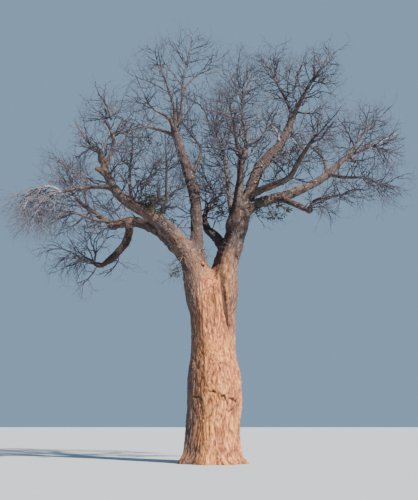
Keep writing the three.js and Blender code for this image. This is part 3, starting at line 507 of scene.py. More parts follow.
    "pale_rise": (0.95, 0, 0.03, 0.02, [(289, 137), (294, 140.5), (297.7, 146), (299, 149.6)]),
    "inner_link": (0.75, -1.5, 0.035, 0.03, [(271, 158.5), (274, 161.4), (280.5, 167.7),
        (286, 174)]),
    "inner_upright": (-1.7, -2.4, 0.028, 0.012, [(288.6, 175), (288.6, 166), (290.5, 160),
        (296, 156)]),
    "inner_slant": (-0.1, -1, 0.022, 0.014, [(313, 179), (307.7, 170.5), (301.4, 164),
        (296, 160)]),
    "upper_right_end": (-3, -3.9, 0.055, 0.018, [(309, 143.5), (316.8, 140.5), (322.3, 136.8),
        (325.9, 131.4), (330.5, 125), (335, 120.5)]),
    "upper_right_side": (-3.5, -2.8, 0.022, 0.01, [(326, 131.4), (333, 131), (340, 134),
        (346, 139)]),
    "lean_left_end": (2.5, 3.3, 0.06, 0.02, [(281.6, 91), (279.5, 87.7), (276.8, 82.3),
        (274, 76.4), (271.4, 72.3), (266.8, 65.9), (263, 59), (257, 52)]),
    "lean_left_fork": (2.9, 2.3, 0.034, 0.014, [(274, 76.6), (275.9, 70.5), (276.4, 64),
        (275, 59), (276, 51), (277, 44)]),
    "lean_left_side": (2.2, 1.3, 0.036, 0.014, [(286.5, 101.5), (280.5, 97.7), (275, 94),
        (265, 91), (260, 88.6)]),
    "lean_left_low": (2.1, 2.9, 0.026, 0.012, [(286.8, 103), (276, 98.6), (268.6, 99.5),
        (262.3, 103.2)]),
    "lean_middle": (1.4, 2, 0.04, 0.014, [(297.5, 112), (295.5, 100.5), (293.2, 95), (294, 86.8),
        (297.7, 80.5), (297.7, 74), (300.5, 68.6), (300.5, 60)]),
    "lean_middle_side": (1.8, 2.8, 0.02, 0.01, [(294, 86.8), (288, 82), (286, 75), (288, 68)]),
    "lean_right_end": (0.95, 0.5, 0.08, 0.02, [(307.8, 88), (314, 76.4), (319.5, 70.5),
        (324, 66.8), (328.6, 62.3), (332.3, 56.8), (335, 50.5)]),
    "lean_right_twin": (1.2, 1.9, 0.045, 0.018, [(302, 105.5), (304.6, 101), (307.7, 95),
        (310.9, 89.5), (315, 84), (323, 79), (331, 78)]),
    "lean_right_left": (0.85, 1.6, 0.035, 0.012, [(313.7, 77), (315, 66.8), (318.6, 60.5),
        (320.5, 52)]),
    "lean_right_low": (1.1, 0.1, 0.035, 0.014, [(303.5, 98), (312, 96), (320, 92), (330, 93),
        (338, 96)]),
    "lean_low_side": (1.45, 0.5, 0.046, 0.016, [(296.6, 112), (305.9, 113.2), (313.2, 113),
        (319.5, 113.6), (322.3, 118.6), (326, 124), (331, 128)]),
    "lean_low_side_high": (0.9, 1.8, 0.022, 0.01, [(313.2, 113), (320, 108), (328, 107),
        (336, 103)]),
    "back_right_end": (2.5, 3.3, 0.05, 0.018, [(315.5, 150), (312, 147), (307, 144), (304, 138),
        (302, 130)]),
    "rising_end": (1.3, 1.9, 0.05, 0.014, [(360.8, 135.5), (365.9, 130.5), (371.4, 124),
        (376.8, 118.6), (384, 113.2), (389.5, 108.6)]),
    "rising_upright": (1.35, 1, 0.034, 0.012, [(365, 131.4), (365.9, 122.3), (367.7, 115),
        (369.5, 108.6), (370, 102.5)]),
    "rising_left": (0.7, -0.1, 0.045, 0.018, [(354, 146), (350.5, 136.8), (346, 129.5),
        (342.3, 122.3), (336.8, 118.6)]),
    "rising_left_high": (0.3, 0.9, 0.022, 0.01, [(342.6, 123), (346.8, 116.8), (350.5, 113.2)]),
    "reach_right_end": (0.25, 0.6, 0.06, 0.016, [(368.6, 147.6), (375, 146.8), (379.5, 142.3),
        (385, 139.5), (391.4, 136.8), (397.7, 133.2)]),
    "reach_right_low": (0.3, -0.5, 0.04, 0.014, [(373.5, 147), (384, 149.5), (389.5, 153.2),
        (395, 156.8), (401.4, 161.4)]),
    "reach_right_down": (0.2, 1, 0.026, 0.012, [(370, 147.4), (376, 153), (380, 160),
        (387, 168)]),
    "knob_right_twig": (0.3, 0.9, 0.022, 0.012, [(355.5, 161.2), (358, 164), (362, 163),
        (363, 158)]),
    "low_right_end": (-1.55, -2.3, 0.052, 0.016, [(355.5, 176.9), (364, 176.8), (369.5, 180.5),
        (375, 182.3), (380.5, 183.2), (389.5, 182.3), (396.8, 177.7), (402.5, 176)]),
    "low_right_droop": (-1.8, -2.6, 0.03, 0.012, [(369.5, 180.5), (374, 186), (378.6, 191.4),
        (384, 197.7), (388.6, 204)]),
    "low_right_mid": (-2, -1.2, 0.024, 0.01, [(380.5, 183.2), (387.7, 186.8), (395, 189.5),
        (402, 190.5)]),
    "elbow_end": (-1.9, -2.5, 0.055, 0.014, [(334.5, 196.3), (343, 194.4), (347.7, 191.4),
        (353.2, 190.5), (359.5, 189.5), (371.4, 190.5)]),
    "elbow_rise": (-2.1, -2.9, 0.024, 0.01, [(350.5, 190.9), (344, 186.8), (340.5, 181.4)]),
    "elbow_droop": (-2.3, -1.6, 0.022, 0.01, [(359.5, 189.6), (364, 196.8), (369.5, 202.3)]),
    "elbow_down": (-2, -2.8, 0.018, 0.009, [(343.2, 194.3), (337.7, 200.5), (333.2, 204)]),
    "elbow_hanging": (-1.3, -1, 0.014, 0.008, [(315.5, 201), (319.5, 208.6), (325, 213.2),
        (328, 216)]),
    "knot_left": (-1, -1.6, 0.04, 0.012, [(152, 214), (147, 206), (144, 198)]),
    "knot_middle": (-1, -0.4, 0.045, 0.012, [(156, 216), (154, 207), (155, 197)]),
    "knot_right": (-0.9, -1.5, 0.04, 0.012, [(160, 218), (161, 209), (164, 200)]),
    "knot_front": (-1, -1.9, 0.035, 0.012, [(150, 213), (150, 205), (152, 195)]),
    "under_right_close": (-0.1, -0.3, 0.03, 0.012, [(250, 207), (254, 209), (259, 211), (263, 214)]),
    "under_right_outer": (-0.1, 0.5, 0.03, 0.012, [(272, 197), (278, 204), (286, 209)]),
    "under_right_middle": (-0.1, -0.7, 0.03, 0.012, [(262, 199), (266, 206), (273, 211)]),
    "under_right_inner": (0, -0.6, 0.026, 0.01, [(255, 201), (256, 207), (260, 214)]),
    "back_upright": (2.5, 2, 0.035, 0.012, [(208, 212), (213, 206), (216, 199), (222, 194)]),
    "leaf_twig_left": (-0.3, -0.8, 0.03, 0.012, [(189, 250), (183.5, 256), (180, 262), (176, 268),
        (175, 274)]),
    "leaf_twig_low": (-0.2, -0.6, 0.02, 0.01, [(184, 262), (181, 268), (182, 275)]),
    "leaf_twig_fork": (-0.2, -0.5, 0.02, 0.01, [(199, 250), (203.5, 250), (206, 255),
        (207, 261)]),
    "leaf_twig_bough": (1, 0.7, 0.02, 0.01, [(168, 222), (171, 219), (173.5, 222), (174, 227)]),
}

# Side boughs of pale or dead wood.
PALE_BOUGHS = {
    "reach_arch", "reach_second", "reach_third", "pale_branch", "pale_rise", "dead_stick",
    "reach_right_end", "knuckle_rise", "pale_stub",
}

# How strongly the twigs rise, or hang where it is below 0, on side boughs whose names
# begin so. The first beginning that fits counts.
SIDE_LIFTS = {
    "reach_right": 0.0, "reach": -2.2, "hang": -0.7, "low_right": -0.2, "leaf": -0.6, "top": 0.5,
}
USUAL_LIFT = 0.35

# How many of the usual number of finer twigs some masses bear.
FULLNESS = {
    "top_twigs": 0.22,
    "left_top_twigs": 0.28,
    "right_leader_twigs": 0.3,
    "left_low_twigs": 0.3,
    "arch_twigs": 0.35,
    "hanging_twigs": 0.4,
    "elbow_twigs": 0.45,
    "slim_twigs": 1.4,
    "centre_top_twigs": 1.8,
    "centre_front_twigs": 1.6,
    "inner_twigs": 1.1,
    "back_twigs": 1.8,
    "left_front_twigs": 1.5,
    "inner_left_twigs": 1.6,
    "left_knuckle_twigs": 0.6,
    "back_reach_twigs": 0.7,
    "upper_left_twigs": 0.65,
    "left_reach_twigs": 2.6,
    "low_reach_twigs": 0.5,
    "leaning_right_twigs": 0.62,
    "upper_right_twigs": 0.35,
    "right_back_twigs": 0.58,
    "right_rising_twigs": 0.5,
    "right_reach_twigs": 0.65,
}

# The rule of growth. A stem runs straight to its knee, bends towards the centre of its
# space and goes on to the far side. STEM_THIN gives its radius, from its start to its end,
# as a share of its bough's tip.

SEAT = 0.0003  # from the bough's tip to the stem, as the solids have it
KNEE = 0.15
STEM_BEND = 0.35  # share of the way to the centre that the bend takes
STEM_MIDDLE = 0.7  # how near the stem's middle comes to the centre
STEM_SWAY = 0.25
STEM_REACH = 0.92  # share of the room ahead that the stem's end takes
STEM_THIN = (1, 0.95, 0.75, 0.5, 0.15)
GOLDEN_TURN = 2.399963  # from one side branch to the next round their parent, in radians
REACH = (0.72, 0.26)  # share of the room ahead that a branch takes, and the chance in it
LENGTH = (0.75, 0.5)  # share of its order's longest, and the chance in it
ANGLE_CHANCE = 0.25
WOBBLE = 0.2
TAPER = (1, 0.7, 0.3)  # radius at the start, the middle and the end of a branch
SHORTEST_TWIG = 0.15
TWIG_CLEAR = 0.008  # the least gap between two twigs
SPACE_EDGE = 1.02
SPACE_CHECKS = (0.34, 0.67, 1)  # how far along a piece its space is tested


class Order(NamedTuple):
    """How one generation of twigs leaves its parents."""

    count: int
    start: float  # share of the parent where the first one leaves
    angle: float
    turn_chance: float
    lift: float
    longest: float
    thin: float  # greatest share of the parent's radius
    thickest: float
    straight: bool = False  # whether it is tested as one straight piece
    first: int = 0  # number of the first key, so that two orders on a parent differ
    shortest: float = SHORTEST_TWIG
    angle_chance: float = ANGLE_CHANCE


BRANCH = Order(7, 0.3, 0.95, 0.5, 0.8, 2.4, 0.5, 0.045)
TWIG = Order(3, 0.3, 0.75, 1, 0.5, 1.1, 0.42, 0.022, straight=True)

# The finer twigs, which only this crown has.

STEM_SHOOT = Order(9, 0.3, 0.9, 1, 0.4, 1.25, 0.6, 0.026, False, 40, 0.12, 0.45)
BRANCH_SHOOT = Order(6, 0.15, 0.85, 1, 0.35, 1.0, 0.7, 0.023, False, 40, 0.12, 0.45)
TWIG_SHOOT = Order(4, 0.2, 0.75, 1, 0.25, 0.75, 0.85, 0.019, False, 40, 0.1, 0.45)
TWIGLET = Order(3, 0.2, 0.8, 1, 0.22, 0.52, 0.88, 0.018, False, 80, 0.07, 0.45)
TIP = Order(2, 0.3, 0.8, 1, 0.1, 0.26, 0.92, 0.0145, False, 120, 0.06, 0.5)
LATERAL = Order(1, 0.0, 1.0, 1, 0.5, 1.8, 0.36, 0.04, False, 0, 0.25, 0.35)
LATERAL_SHOOT = Order(6, 0.2, 0.85, 1, 0.4, 0.9, 0.65, 0.024, False, 0, 0.12, 0.45)
SIDE_SHOOT = Order(1, 0.0, 0.8, 1, 0.5, 1.0, 0.7, 0.025, False, 0, 0.12, 0.4)

# Where laterals leave the limbs: how many to a metre, and from which share of it on.
LATERALS = {
    "right_stem": (4.5, 0.66),
    "upright_bough": (2.8, 0.5),
    "upper_left_bough": (2.4, 0.5),
    "lower_left_bough": (4.0, 0.45),
    "leaning_bough": (3.4, 0.3),
    "lower_right_bough": (2.8, 0.25),
    "upper_right_bough": (2.2, 0.15),
    "slim_bough": (3.8, 0.15),
    "back_bough": (4.0, 0.4),
    "leaning_left_leader": (3.0, 0.45),
    "leaning_right_leader": (2.6, 0.45),
    "left_twin_bough": (2.4, 0.35),
    "top_leader": (2.2, 0.3),
    "left_leader": (2.2, 0.3),
    "left_low_leader": (2.2, 0.3),
    "right_leader": (2.2, 0.3),
    "arch_branch": (2.2, 0.3),
    "centre_front_bough": (4.5, 0.15),
    "centre_top_bough": (4.5, 0.15),
    "hanging_limb_upper": (0.8, 0.5),
}
OTHER_LATERALS = (4.0, 0.22)
SIDE_SHOOTS = {  # how many to a metre on side boughs whose names begin so
    "top": 3.0,
    "left_leader": 3.0,
    "right_leader": 3.0,
    "left_low": 3.2,
    "leader": 3.0,
    "hang": 4.2,
    "reach_a": 7.0,
    "reach_s": 7.0,
    "elbow": 3.4,
    "tuft": 4.2,
    "upper_right": 3.5,
    "rising": 3.4,
    "lean_low": 3.6,
    "lean_right": 4.2,
    "reach_right": 4.6,
}
OTHER_SHOOTS = 5.5
SHOOTS_START = 0.12
CROWN_EDGE = 1.9  # how far out of the masses' spaces twigs on limbs may reach, as a share
RAGGED_EDGE = (0.98, 0.2)  # the same for a mass's finer twigs, and the chance in it
BOX_EDGE = 0.26  # how far outside the solids' box any twig may reach
NEAR_MASS = 1.5  # how far out of its space a mass's twigs are kept clear of limbs, as a share
LATERAL_LIFT = 0.6

# How the lines of twigs become tubes: the steps in each span, how crooked they are as a
# share of their length, and the number of sides.

STEM_MAKE = (5, 0.006, 9)
BRANCH_MAKE = (4, 0.02, 6)
TWIG_MAKE = (3, 0.025, 5)
SHOOT_MAKE = (2, 0.055, 4)
TWIGLET_MAKE = (1, 0.07, 3)
LATERAL_MAKE = (4, 0.03, 6)
SIDE_MAKE = (1, 0.012, 6)
TIP_SIDES = 3
END_KNOCK = 0.5  # how far the end of a line is knocked aside, as a share of the rest
STEM_SUNK = 0.12  # how deep a stem begins in its bough

# Chance. A key and the number of a choice give the same value every time.

KNOCK_CHOICE = 20
EDGE_CHOICE = 12
LEAFY_CHOICE = 30
DRY_CHOICE = 31
LATERAL_KEYS = 200
LEAF_KEYS = 300
SIDE_KEY = 7
MIX_CHOICE = 0x9E3779B1
MIX_FIRST = 0x85EBCA6B
MIX_SECOND = 0xC2B2AE35
MIX_CHILD = 0x27D4EB2F
MIX_NEXT = 0x165667B1
MIX_SHIFTS = (13, 16)
KEY_STEP = 7
KEY_MASK = 0xFFFFFFFF
KEY_RANGE = 2.0**32

TINY = 1e-6
STEEP = 0.8  # how upright a way is before its side is taken from +X in place of +Z


def unit(vectors):
    return vectors / np.linalg.norm(vectors, axis=-1, keepdims=True)


def safe_unit(vectors):
    """Unit vectors, where some of those given may be almost nothing."""
    return vectors / np.maximum(np.linalg.norm(vectors, axis=-1, keepdims=True), TINY)


def ramp(values, ends):
    """0 up to the first of two ends, 1 from the second on, and a straight rise between."""
    start, stop = ends
    return np.clip((values - start) / (stop - start), 0, 1)


def inner(a, b):
    return (a * b).sum(-1, keepdims=True)


def square(way):
    """A direction square to each one given."""
    steep = np.abs(way[..., 2:]) >= STEEP
    return unit(np.cross(way, np.where(steep, (1.0, 0, 0), (0, 0, 1.0))))


def chance(keys, choice):
    """A value from 0 to 1 that depends only on a key and the number of the choice."""
    value = (keys ^ np.uint32((choice + 1) * MIX_CHOICE & KEY_MASK)) * np.uint32(MIX_FIRST)
    value = (value ^ (value >> np.uint32(MIX_SHIFTS[0]))) * np.uint32(MIX_SECOND)
    value = value ^ (value >> np.uint32(MIX_SHIFTS[1]))
    return value / KEY_RANGE


def spread(keys, choice):
    return 2 * chance(keys, choice) - 1


def child_keys(keys, index):
    steps = (index.astype(np.uint32) + np.uint32(KEY_STEP)) * np.uint32(MIX_CHILD)
    return (keys ^ steps) * np.uint32(MIX_NEXT)


def curves(routes, steps):
    """Smooth lines through routes of x, y, z and radius, with some steps in each span."""
    before = 2 * routes[:, :1] - routes[:, 1:2]
    after = 2 * routes[:, -1:] - routes[:, -2:-1]
    full = np.concatenate([before, routes, after], axis=1)
    t = np.arange(steps)[:, None] / steps
    pieces = []
    for span in range(routes.shape[1] - 1):
        p0, p1, p2, p3 = (full[:, span + ahead, None] for ahead in range(4))
        leave, arrive, rise = (p2 - p0) / 2, (p3 - p1) / 2, p2 - p1
        bend = (3 * rise - 2 * leave - arrive) * t**2 + (leave + arrive - 2 * rise) * t**3
        piece = p1 + leave * t + bend
        piece[..., 3] = (p1 + rise * t)[..., 3]
        pieces.append(piece)
    return np.concatenate([*pieces, routes[:, -1:]], axis=1)


def frames(lines):
    """The ways along and across each point of each line, carried on without twist."""
    points = lines[..., :3]
    ahead = np.concatenate([points[:, 1:], points[:, -1:]], axis=1)
    behind = np.concatenate([points[:, :1], points[:, :-1]], axis=1)
    way = unit(ahead - behind)
    side = np.empty_like(way)
    carried = square(way[:, 0])
    for place in range(lines.shape[1]):
        carried = unit(carried - inner(carried, way[:, place]) * way[:, place])
        side[:, place] = carried
    return way, side, np.cross(way, side)


# The camera's view


def seen_from_front(points):
    """The pixels of the picture where points show."""
    away = points - CAMERA_PLACE
    sin, cos = math.sin(CAMERA_RISE), math.cos(CAMERA_RISE)
    ahead = away[..., 1] * cos + away[..., 2] * sin
    up = away[..., 2] * cos - away[..., 1] * sin
    shown = np.stack([away[..., 0], -up], -1) * PIXELS_PER_SLOPE / ahead[..., None]
    return PICTURE_SIZE / 2 + shown


def placed(pixels, depths):
    """The places at some depths that show at some pixels of the picture."""
    right, down = ((np.array(pixels) - PICTURE_SIZE / 2) / PIXELS_PER_SLOPE).T
    sin, cos = math.sin(CAMERA_RISE), math.cos(CAMERA_RISE)
    away = depths - CAMERA_PLACE[1]
    rise = away * (sin - down * cos) / (cos + down * sin)
    side = right * (away * cos + rise * sin)
    return CAMERA_PLACE + np.stack([side, away, rise], 1)


def route_of(shown):
    """The route of x, y, z and radius of a bough that is given in pixels."""
    near, far, thick, thin, pixels = shown
    steps = np.linalg.norm(np.diff(pixels, axis=0), axis=1)
    share = np.concatenate([[0], np.cumsum(steps)]) / steps.sum()
    places = placed(pixels, near + (far - near) * share)
    return np.column_stack([places, thick + (thin - thick) * share])


# Meshes


def tubes(lines, sides, pointed=True):
    """Points and triangles of closed tapering tubes round a batch of lines."""
    count, rings = lines.shape[:2]
    if not count:
        return np.empty((0, 3)), np.empty((0, 3), int)
    _, side, out = frames(lines)
    turn = 2 * np.pi * np.arange(sides)[:, None] / sides
    around = side[:, :, None] * np.cos(turn) + out[:, :, None] * np.sin(turn)
    points = (lines[:, :, None, :3] + lines[:, :, None, 3:] * around).reshape(count, -1, 3)
    shown = rings - 1 if pointed else rings
    points = points[:, : shown * sides]
    corner = np.arange(sides)
    following = (corner + 1) % sides
    faces = []
    for ring in range(shown - 1):
        low, high = ring * sides, (ring + 1) * sides
        faces.append(np.stack([low + corner, low + following, high + following], 1))
        faces.append(np.stack([low + corner, high + following, high + corner], 1))
    last = (shown - 1) * sides
    fan = np.arange(1, sides - 1)
    faces.append(np.stack([0 * fan, fan + 1, fan], 1))
    if pointed:
        points = np.concatenate([points, lines[:, -1:, :3]], axis=1)
        faces.append(np.stack([last + corner, last + following, 0 * corner + shown * sides], 1))
    else:
        faces.append(np.stack([0 * fan + last, last + fan, last + fan + 1], 1))
    one = np.concatenate(faces)
    starts = np.arange(count)[:, None, None] * points.shape[1]
    return points.reshape(-1, 3), (starts + one).reshape(-1, 3)


def joined(parts):
    """Several batches of points and triangles as one."""
    parts = [part for part in parts if len(part[0])]
    starts = np.cumsum([0] + [len(points) for points, _ in parts])
    points = np.concatenate([points for points, _ in parts])
    faces = np.concatenate([faces + start for (_, faces), start in zip(parts, starts)])
    return points, faces


def mesh_of(name, points, faces):
    mesh = bpy.data.meshes.new(name)
    mesh.vertices.add(len(points))
    mesh.vertices.foreach_set("co", points.astype(np.float32).ravel())
    mesh.loops.add(3 * len(faces))
    mesh.loops.foreach_set("vertex_index", faces.astype(np.int32).ravel())
    mesh.polygons.add(len(faces))
    mesh.polygons.foreach_set("loop_start", np.arange(0, 3 * len(faces), 3, dtype=np.int32))
    mesh.update(calc_edges=True)
    return mesh


def piece_of(name, mesh, material, slot, replaced=()):
    """A finished piece of the tree, in place and riding on it."""
    mesh.polygons.foreach_set("use_smooth", np.ones(len(mesh.polygons), bool))
    mesh.materials.clear()
    mesh.materials.append(material)
    piece = bpy.data.objects.new(name, mesh)
    bpy.context.scene.collection.objects.link(piece)
    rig.ride(piece, "root")
    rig.slot(piece, slot)
    if replaced:
        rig.replaces(piece, *replaced)


# The smooth body of trunk and boughs, as distances from their surfaces

LIMB_STEPS = 5
BLEND_SHARE = 0.9  # how wide a limb melts into what carries it, as a share of its radius
CREASED_LIMBS = {"lower_left_bough": 0.2, "upright_bough": 0.5}  # limbs with a sharper crease
BLEND_LEAST = 0.03
BLEND_MOST = 0.38
SENSE_MARGIN = 0.6
TRUNK_TOP = TRUNK_ROWS[-1, 0]
TRUNK_STEP = 0.05
TRUNK_EASES = 2  # how often the trunk's curves are smoothed
EASE_REACH = 2  # how many steps to each side one smoothing takes in
SHADE_EDGE = (0.35, 0.65)  # where the painted shade on a flat face sets in and is full


class Sense(NamedTuple):
    """What a limb tells about points near it."""

    gap: np.ndarray  # distance from its surface, less than 0 inside
    out: np.ndarray  # the way out of it
    girth: np.ndarray  # its radius there
    grain: np.ndarray  # place across, across and along the limb, in metres
    shade: np.ndarray = 0  # how far round on its flat face, from 0 to 1, painted as shade on the bark


class Limb:
    """One bough, as a smooth line with a radius."""

    def __init__(self, route, flat=None):
        self.flat = flat
        self.route = np.array(route, float)
        self.line = curves(self.route[None], LIMB_STEPS)[0]
        _, side, out = frames(self.line[None])
        self.side, self.out = side[0], out[0]
        steps = np.linalg.norm(np.diff(self.line[:, :3], axis=0), axis=1)
        self.length = np.concatenate([[0], np.cumsum(steps)])
        margin = self.line[:, 3].max() + SENSE_MARGIN
        self.low = self.line[:, :3].min(0) - margin
        self.high = self.line[:, :3].max(0) + margin

    def near(self, points):
        return np.flatnonzero(np.all((points > self.low) & (points < self.high), axis=1))

    def sense(self, points):
        best = np.full(len(points), np.inf)
        place = np.zeros(len(points))
        for index, (start, end) in enumerate(zip(self.line[:-1], self.line[1:])):
            span = end - start
            t = np.clip((points - start[:3]) @ span[:3] / (span[:3] @ span[:3]), 0, 1)
            away = points - start[:3] - t[:, None] * span[:3]
            gap = np.linalg.norm(away, axis=1) - start[3] - t * span[3]
            closer = gap < best
            best = np.where(closer, gap, best)
            place = np.where(closer, index + t, place)
        index = np.minimum(place.astype(int), len(self.line) - 2)
        t = (place - index)[:, None]
        middle = self.line[index] * (1 - t) + self.line[index + 1] * t
        away = points - middle[:, :3]
        out = safe_unit(away)
        side = self.side[index] * (1 - t) + self.side[index + 1] * t
        across = self.out[index] * (1 - t) + self.out[index + 1] * t
        length = self.length[index] * (1 - t[:, 0]) + self.length[index + 1] * t[:, 0]
        girth = middle[:, 3]
        shade = 0
        if self.flat:
            turn, share = self.flat
            facing = -away[:, 0] * math.sin(turn) - away[:, 1] * math.cos(turn)
            best = np.maximum(best, facing - share * girth)
            # painted shade: the bark darkens over the flat face, which turns away from the sun
            shade = ramp(facing / girth, SHADE_EDGE)
        round_limb = inner(out, side)[:, 0] * girth, inner(out, across)[:, 0] * girth
        return Sense(best, out, girth, np.stack([*round_limb, length], 1), shade)


def trunk_rows(height):
    """The trunk's half width, half depth and centre at each height, as smooth curves."""
    heights = np.arange(0, TRUNK_TOP + TRUNK_STEP, TRUNK_STEP)
    window = 2 * EASE_REACH + 1
    eased = []
    for column in (1, 2, 3):
        values = np.interp(heights, TRUNK_ROWS[:, 0], TRUNK_ROWS[:, column])
        for _ in range(TRUNK_EASES):
            padded = np.pad(values, EASE_REACH, mode="edge")
            values = sum(padded[shift : shift + len(values)] for shift in range(window)) / window
        eased.append(np.interp(height, heights, values))
    return eased


FACE_TURN = math.radians(45)  # the way that the flat face looks, from the front to the left
FACE_ROWS = np.array([  # height, and the face's distance as a share of the half width
    (0, 0.9), (1.2, 0.87), (2.6, 0.86), (3.6, 0.93),
    (4.6, 0.95), (5.6, 0.98), (6.6, 1.0), (8, 1.15),
])
FACE_ROUND = 0.16  # how wide the rounding at its edge is, as a share of the girth
FLAT_LIMBS = {"right_stem": (math.radians(62), 0.74)}  # turn and distance of a limb's flat face
DARK_AND_SHADED_LIMBS = {  # how much darker than the others some limbs are painted: darker bark, and painted shade where they lie in shadow
    "hanging_limb_upper": 0.75,
    "hanging_limb_lower": 0.75,
    "lower_left_bough": 0.2,
    "upright_bough": 0.55,
    "back_bough": 0.8,
    "leaning_bough": 0.6,
    "leaning_left_leader": 0.6,
    "leaning_right_leader": 0.6,
    "top_leader": 0.5,
    "left_leader": 0.5,
    "inner_bough": 0.5,
}


def sense_trunk(points):
    height = np.clip(points[:, 2], 0, TRUNK_TOP)
    wide, deep, centre = trunk_rows(height)
    x, y = points[:, 0] - centre, points[:, 1]
    turn = np.arctan2(y / deep, x / wide)
    lobe = FOOT_LOBE_DEPTH * np.exp(-height / FOOT_LOBE_HEIGHT)
    swell = 1 + lobe * np.cos(FOOT_LOBES * turn + FOOT_LOBE_TURN)
    girth = (wide + deep) / 2
    ratio = np.maximum(np.hypot(x / wide, y / deep), TINY)
    gap = (ratio - swell) * girth
    face = -x / wide * math.sin(FACE_TURN) - y / deep * math.cos(FACE_TURN)
    face = (face - np.interp(height, *FACE_ROWS.T)) * girth
    near = np.clip(0.5 + 0.5 * (face - gap) / (FACE_ROUND * girth), 0, 1)
    gap = gap * (1 - near) + face * near + FACE_ROUND * girth * near * (1 - near)
    over = np.maximum(points[:, 2] - TRUNK_TOP, 0)
    gap = np.where(over > 0, np.hypot(np.maximum(gap, 0), over), gap)
    out = safe_unit(np.stack([x / wide**2, y / deep**2, over], 1))
    grain = np.stack([np.cos(turn) * girth, np.sin(turn) * girth, points[:, 2]], 1)
    return Sense(gap, out, girth, grain)


def melt(gap, out, other_gap, other_out, width):
    """The smooth union of two bodies, as distances and ways out."""
    share = np.clip(0.5 + 0.5 * (gap - other_gap) / width, 0, 1)
    both = gap * (1 - share) + other_gap * share - width * share * (1 - share)
    return both, out * (1 - share)[:, None] + other_out * share[:, None]


def sense_tree(points, limbs):
    """The distance of each point from the whole blended body, and the way out."""
    trunk = sense_trunk(points)
    gap, out = trunk.gap, trunk.out
    for name, limb in limbs.items():
        near = limb.near(points)
        if not near.size:
            continue
        own = limb.sense(points[near])
        share = CREASED_LIMBS.get(name, BLEND_SHARE)
        width = np.clip(share * own.girth, BLEND_LEAST, BLEND_MOST)
        gap[near], out[near] = melt(gap[near], out[near], own.gap, own.out, width)
    return gap, safe_unit(out)


# The relief of the bark

CELL_PRIMES = (73856093, 19349663, 83492791)
NOISE_GAIN = 1.6


def noise(points, seed):
    """Smooth noise from about -1 to 1 on points in three dimensions."""
    cell = np.floor(points).astype(np.int64)
    part = points - cell
    fade = part**3 * (part * (part * 6 - 15) + 10)
    total = np.zeros(len(points))
    for corner in product((0, 1), repeat=3):
        spot = (cell + corner) * CELL_PRIMES
        key = spot[:, 0] ^ spot[:, 1] ^ spot[:, 2] ^ seed
        key = (key & KEY_MASK).astype(np.uint32)
        slope = np.stack([spread(key, choice) for choice in (1, 2, 3)], 1)
        weight = np.prod(np.where(corner, fade, 1 - fade), axis=1)
        total += weight * (slope * (part - corner)).sum(1)
    return NOISE_GAIN * total


# The bark's patterns: how often each comes in a metre, across, across and along a limb of
# full girth, and the number that makes its noise its own.

BARK_PATTERNS = {
    "fluting": ((1.5, 1.5, 0.3), 0),
    "ribs": ((4.8, 4.8, 0.65), 1),
    "fibres": ((12, 12, 1.9), 2),
    "knobs": ((0.84, 0.84, 0.63), 3),
    "wrinkles": ((1.6, 1.6, 6.5), 5),
    "folds": ((3.2, 3.2, 1.1), 7),
    "grit": ((14, 14, 8), 9),
    "sway_first": ((1.4, 1.4, 0.9), 21),
    "sway_second": ((1.4, 1.4, 0.9), 22),
}
FLUTE_DEPTH = 0.06
KNOB_DEPTH = 0.15  # as a share of the girth
KNOBBY_GIRTH = (0.6, 0.3)  # where knobs set in and are full
RIB_DEPTH = 0.076
FIBRE_DEPTH = 0.042
WRINKLE_DEPTH = 0.014
FOLD_DEPTH = 0.042
FOLD_SLANT = 0.5  # how far the folds move across for each metre up
GRIT_DEPTH = 0.007
SWAY = 0.3  # how far the ribs stray to the side
FULL_GIRTH = 1.1  # the girth at which the relief is as deep as given here
SIZE_RANGE = (0.06, 1.2)  # how small and how large a limb counts beside it
FINE_POWER = -0.5  # how the patterns close up as a limb gets thinner
DEPTH_POWER = 0.6  # how their depths shrink
GRIT_POWER = 0.4
RIB_CRACK = 0.11  # how wide the cracks between the ribs are
FIBRE_CRACK = 0.17
FIBRE_CRACK_SHARE = 0.8


def pattern(name, place, fine, seed):
    scale, own = BARK_PATTERNS[name]
    return noise(place * scale * fine[:, None], seed + own)


def swayed(grain, fine, seed):
    """The place on a limb, pushed aside by slow noise so that the ribs wander."""
    push = [pattern(name, grain, fine, seed) for name in ("sway_first", "sway_second")]
    return grain + SWAY * np.stack([*push, 0 * fine], 1) / fine[:, None]


def creased(values):
    """Round ridges with sharp creases between them, about 0 on the whole."""
    return np.sqrt(np.abs(values)) - 0.5


def bark_relief(grain, girth, seed):
    """How far the bark stands out from the smooth limb, and how deep in a crack it is."""
    size = np.clip(girth / FULL_GIRTH, *SIZE_RANGE)
    fine = size**FINE_POWER
    place = swayed(grain, fine, seed)
    slanted = place + FOLD_SLANT * place[:, 2:] * (1, 1, 0)
    ribs = pattern("ribs", place, fine, seed)
    fibres = pattern("fibres", place, fine, seed)
    rib_cracks = np.exp(-((ribs / RIB_CRACK) ** 2))
    fibre_cracks = FIBRE_CRACK_SHARE * np.exp(-((fibres / FIBRE_CRACK) ** 2))
    relief = RIB_DEPTH * creased(ribs) + FIBRE_DEPTH * creased(fibres)
    relief += FOLD_DEPTH * creased(pattern("folds", slanted, fine, seed))
    relief += WRINKLE_DEPTH * pattern("wrinkles", grain, fine, seed)
    height = relief * size**DEPTH_POWER
    height += FLUTE_DEPTH * size * pattern("fluting", grain, fine, seed)
    height += GRIT_DEPTH * size**GRIT_POWER * pattern("grit", grain, fine, seed)
    knobs = pattern("knobs", grain, fine**2, seed) * ramp(girth, KNOBBY_GIRTH)
    return height + KNOB_DEPTH * girth * knobs, np.maximum(rib_cracks, fibre_cracks)


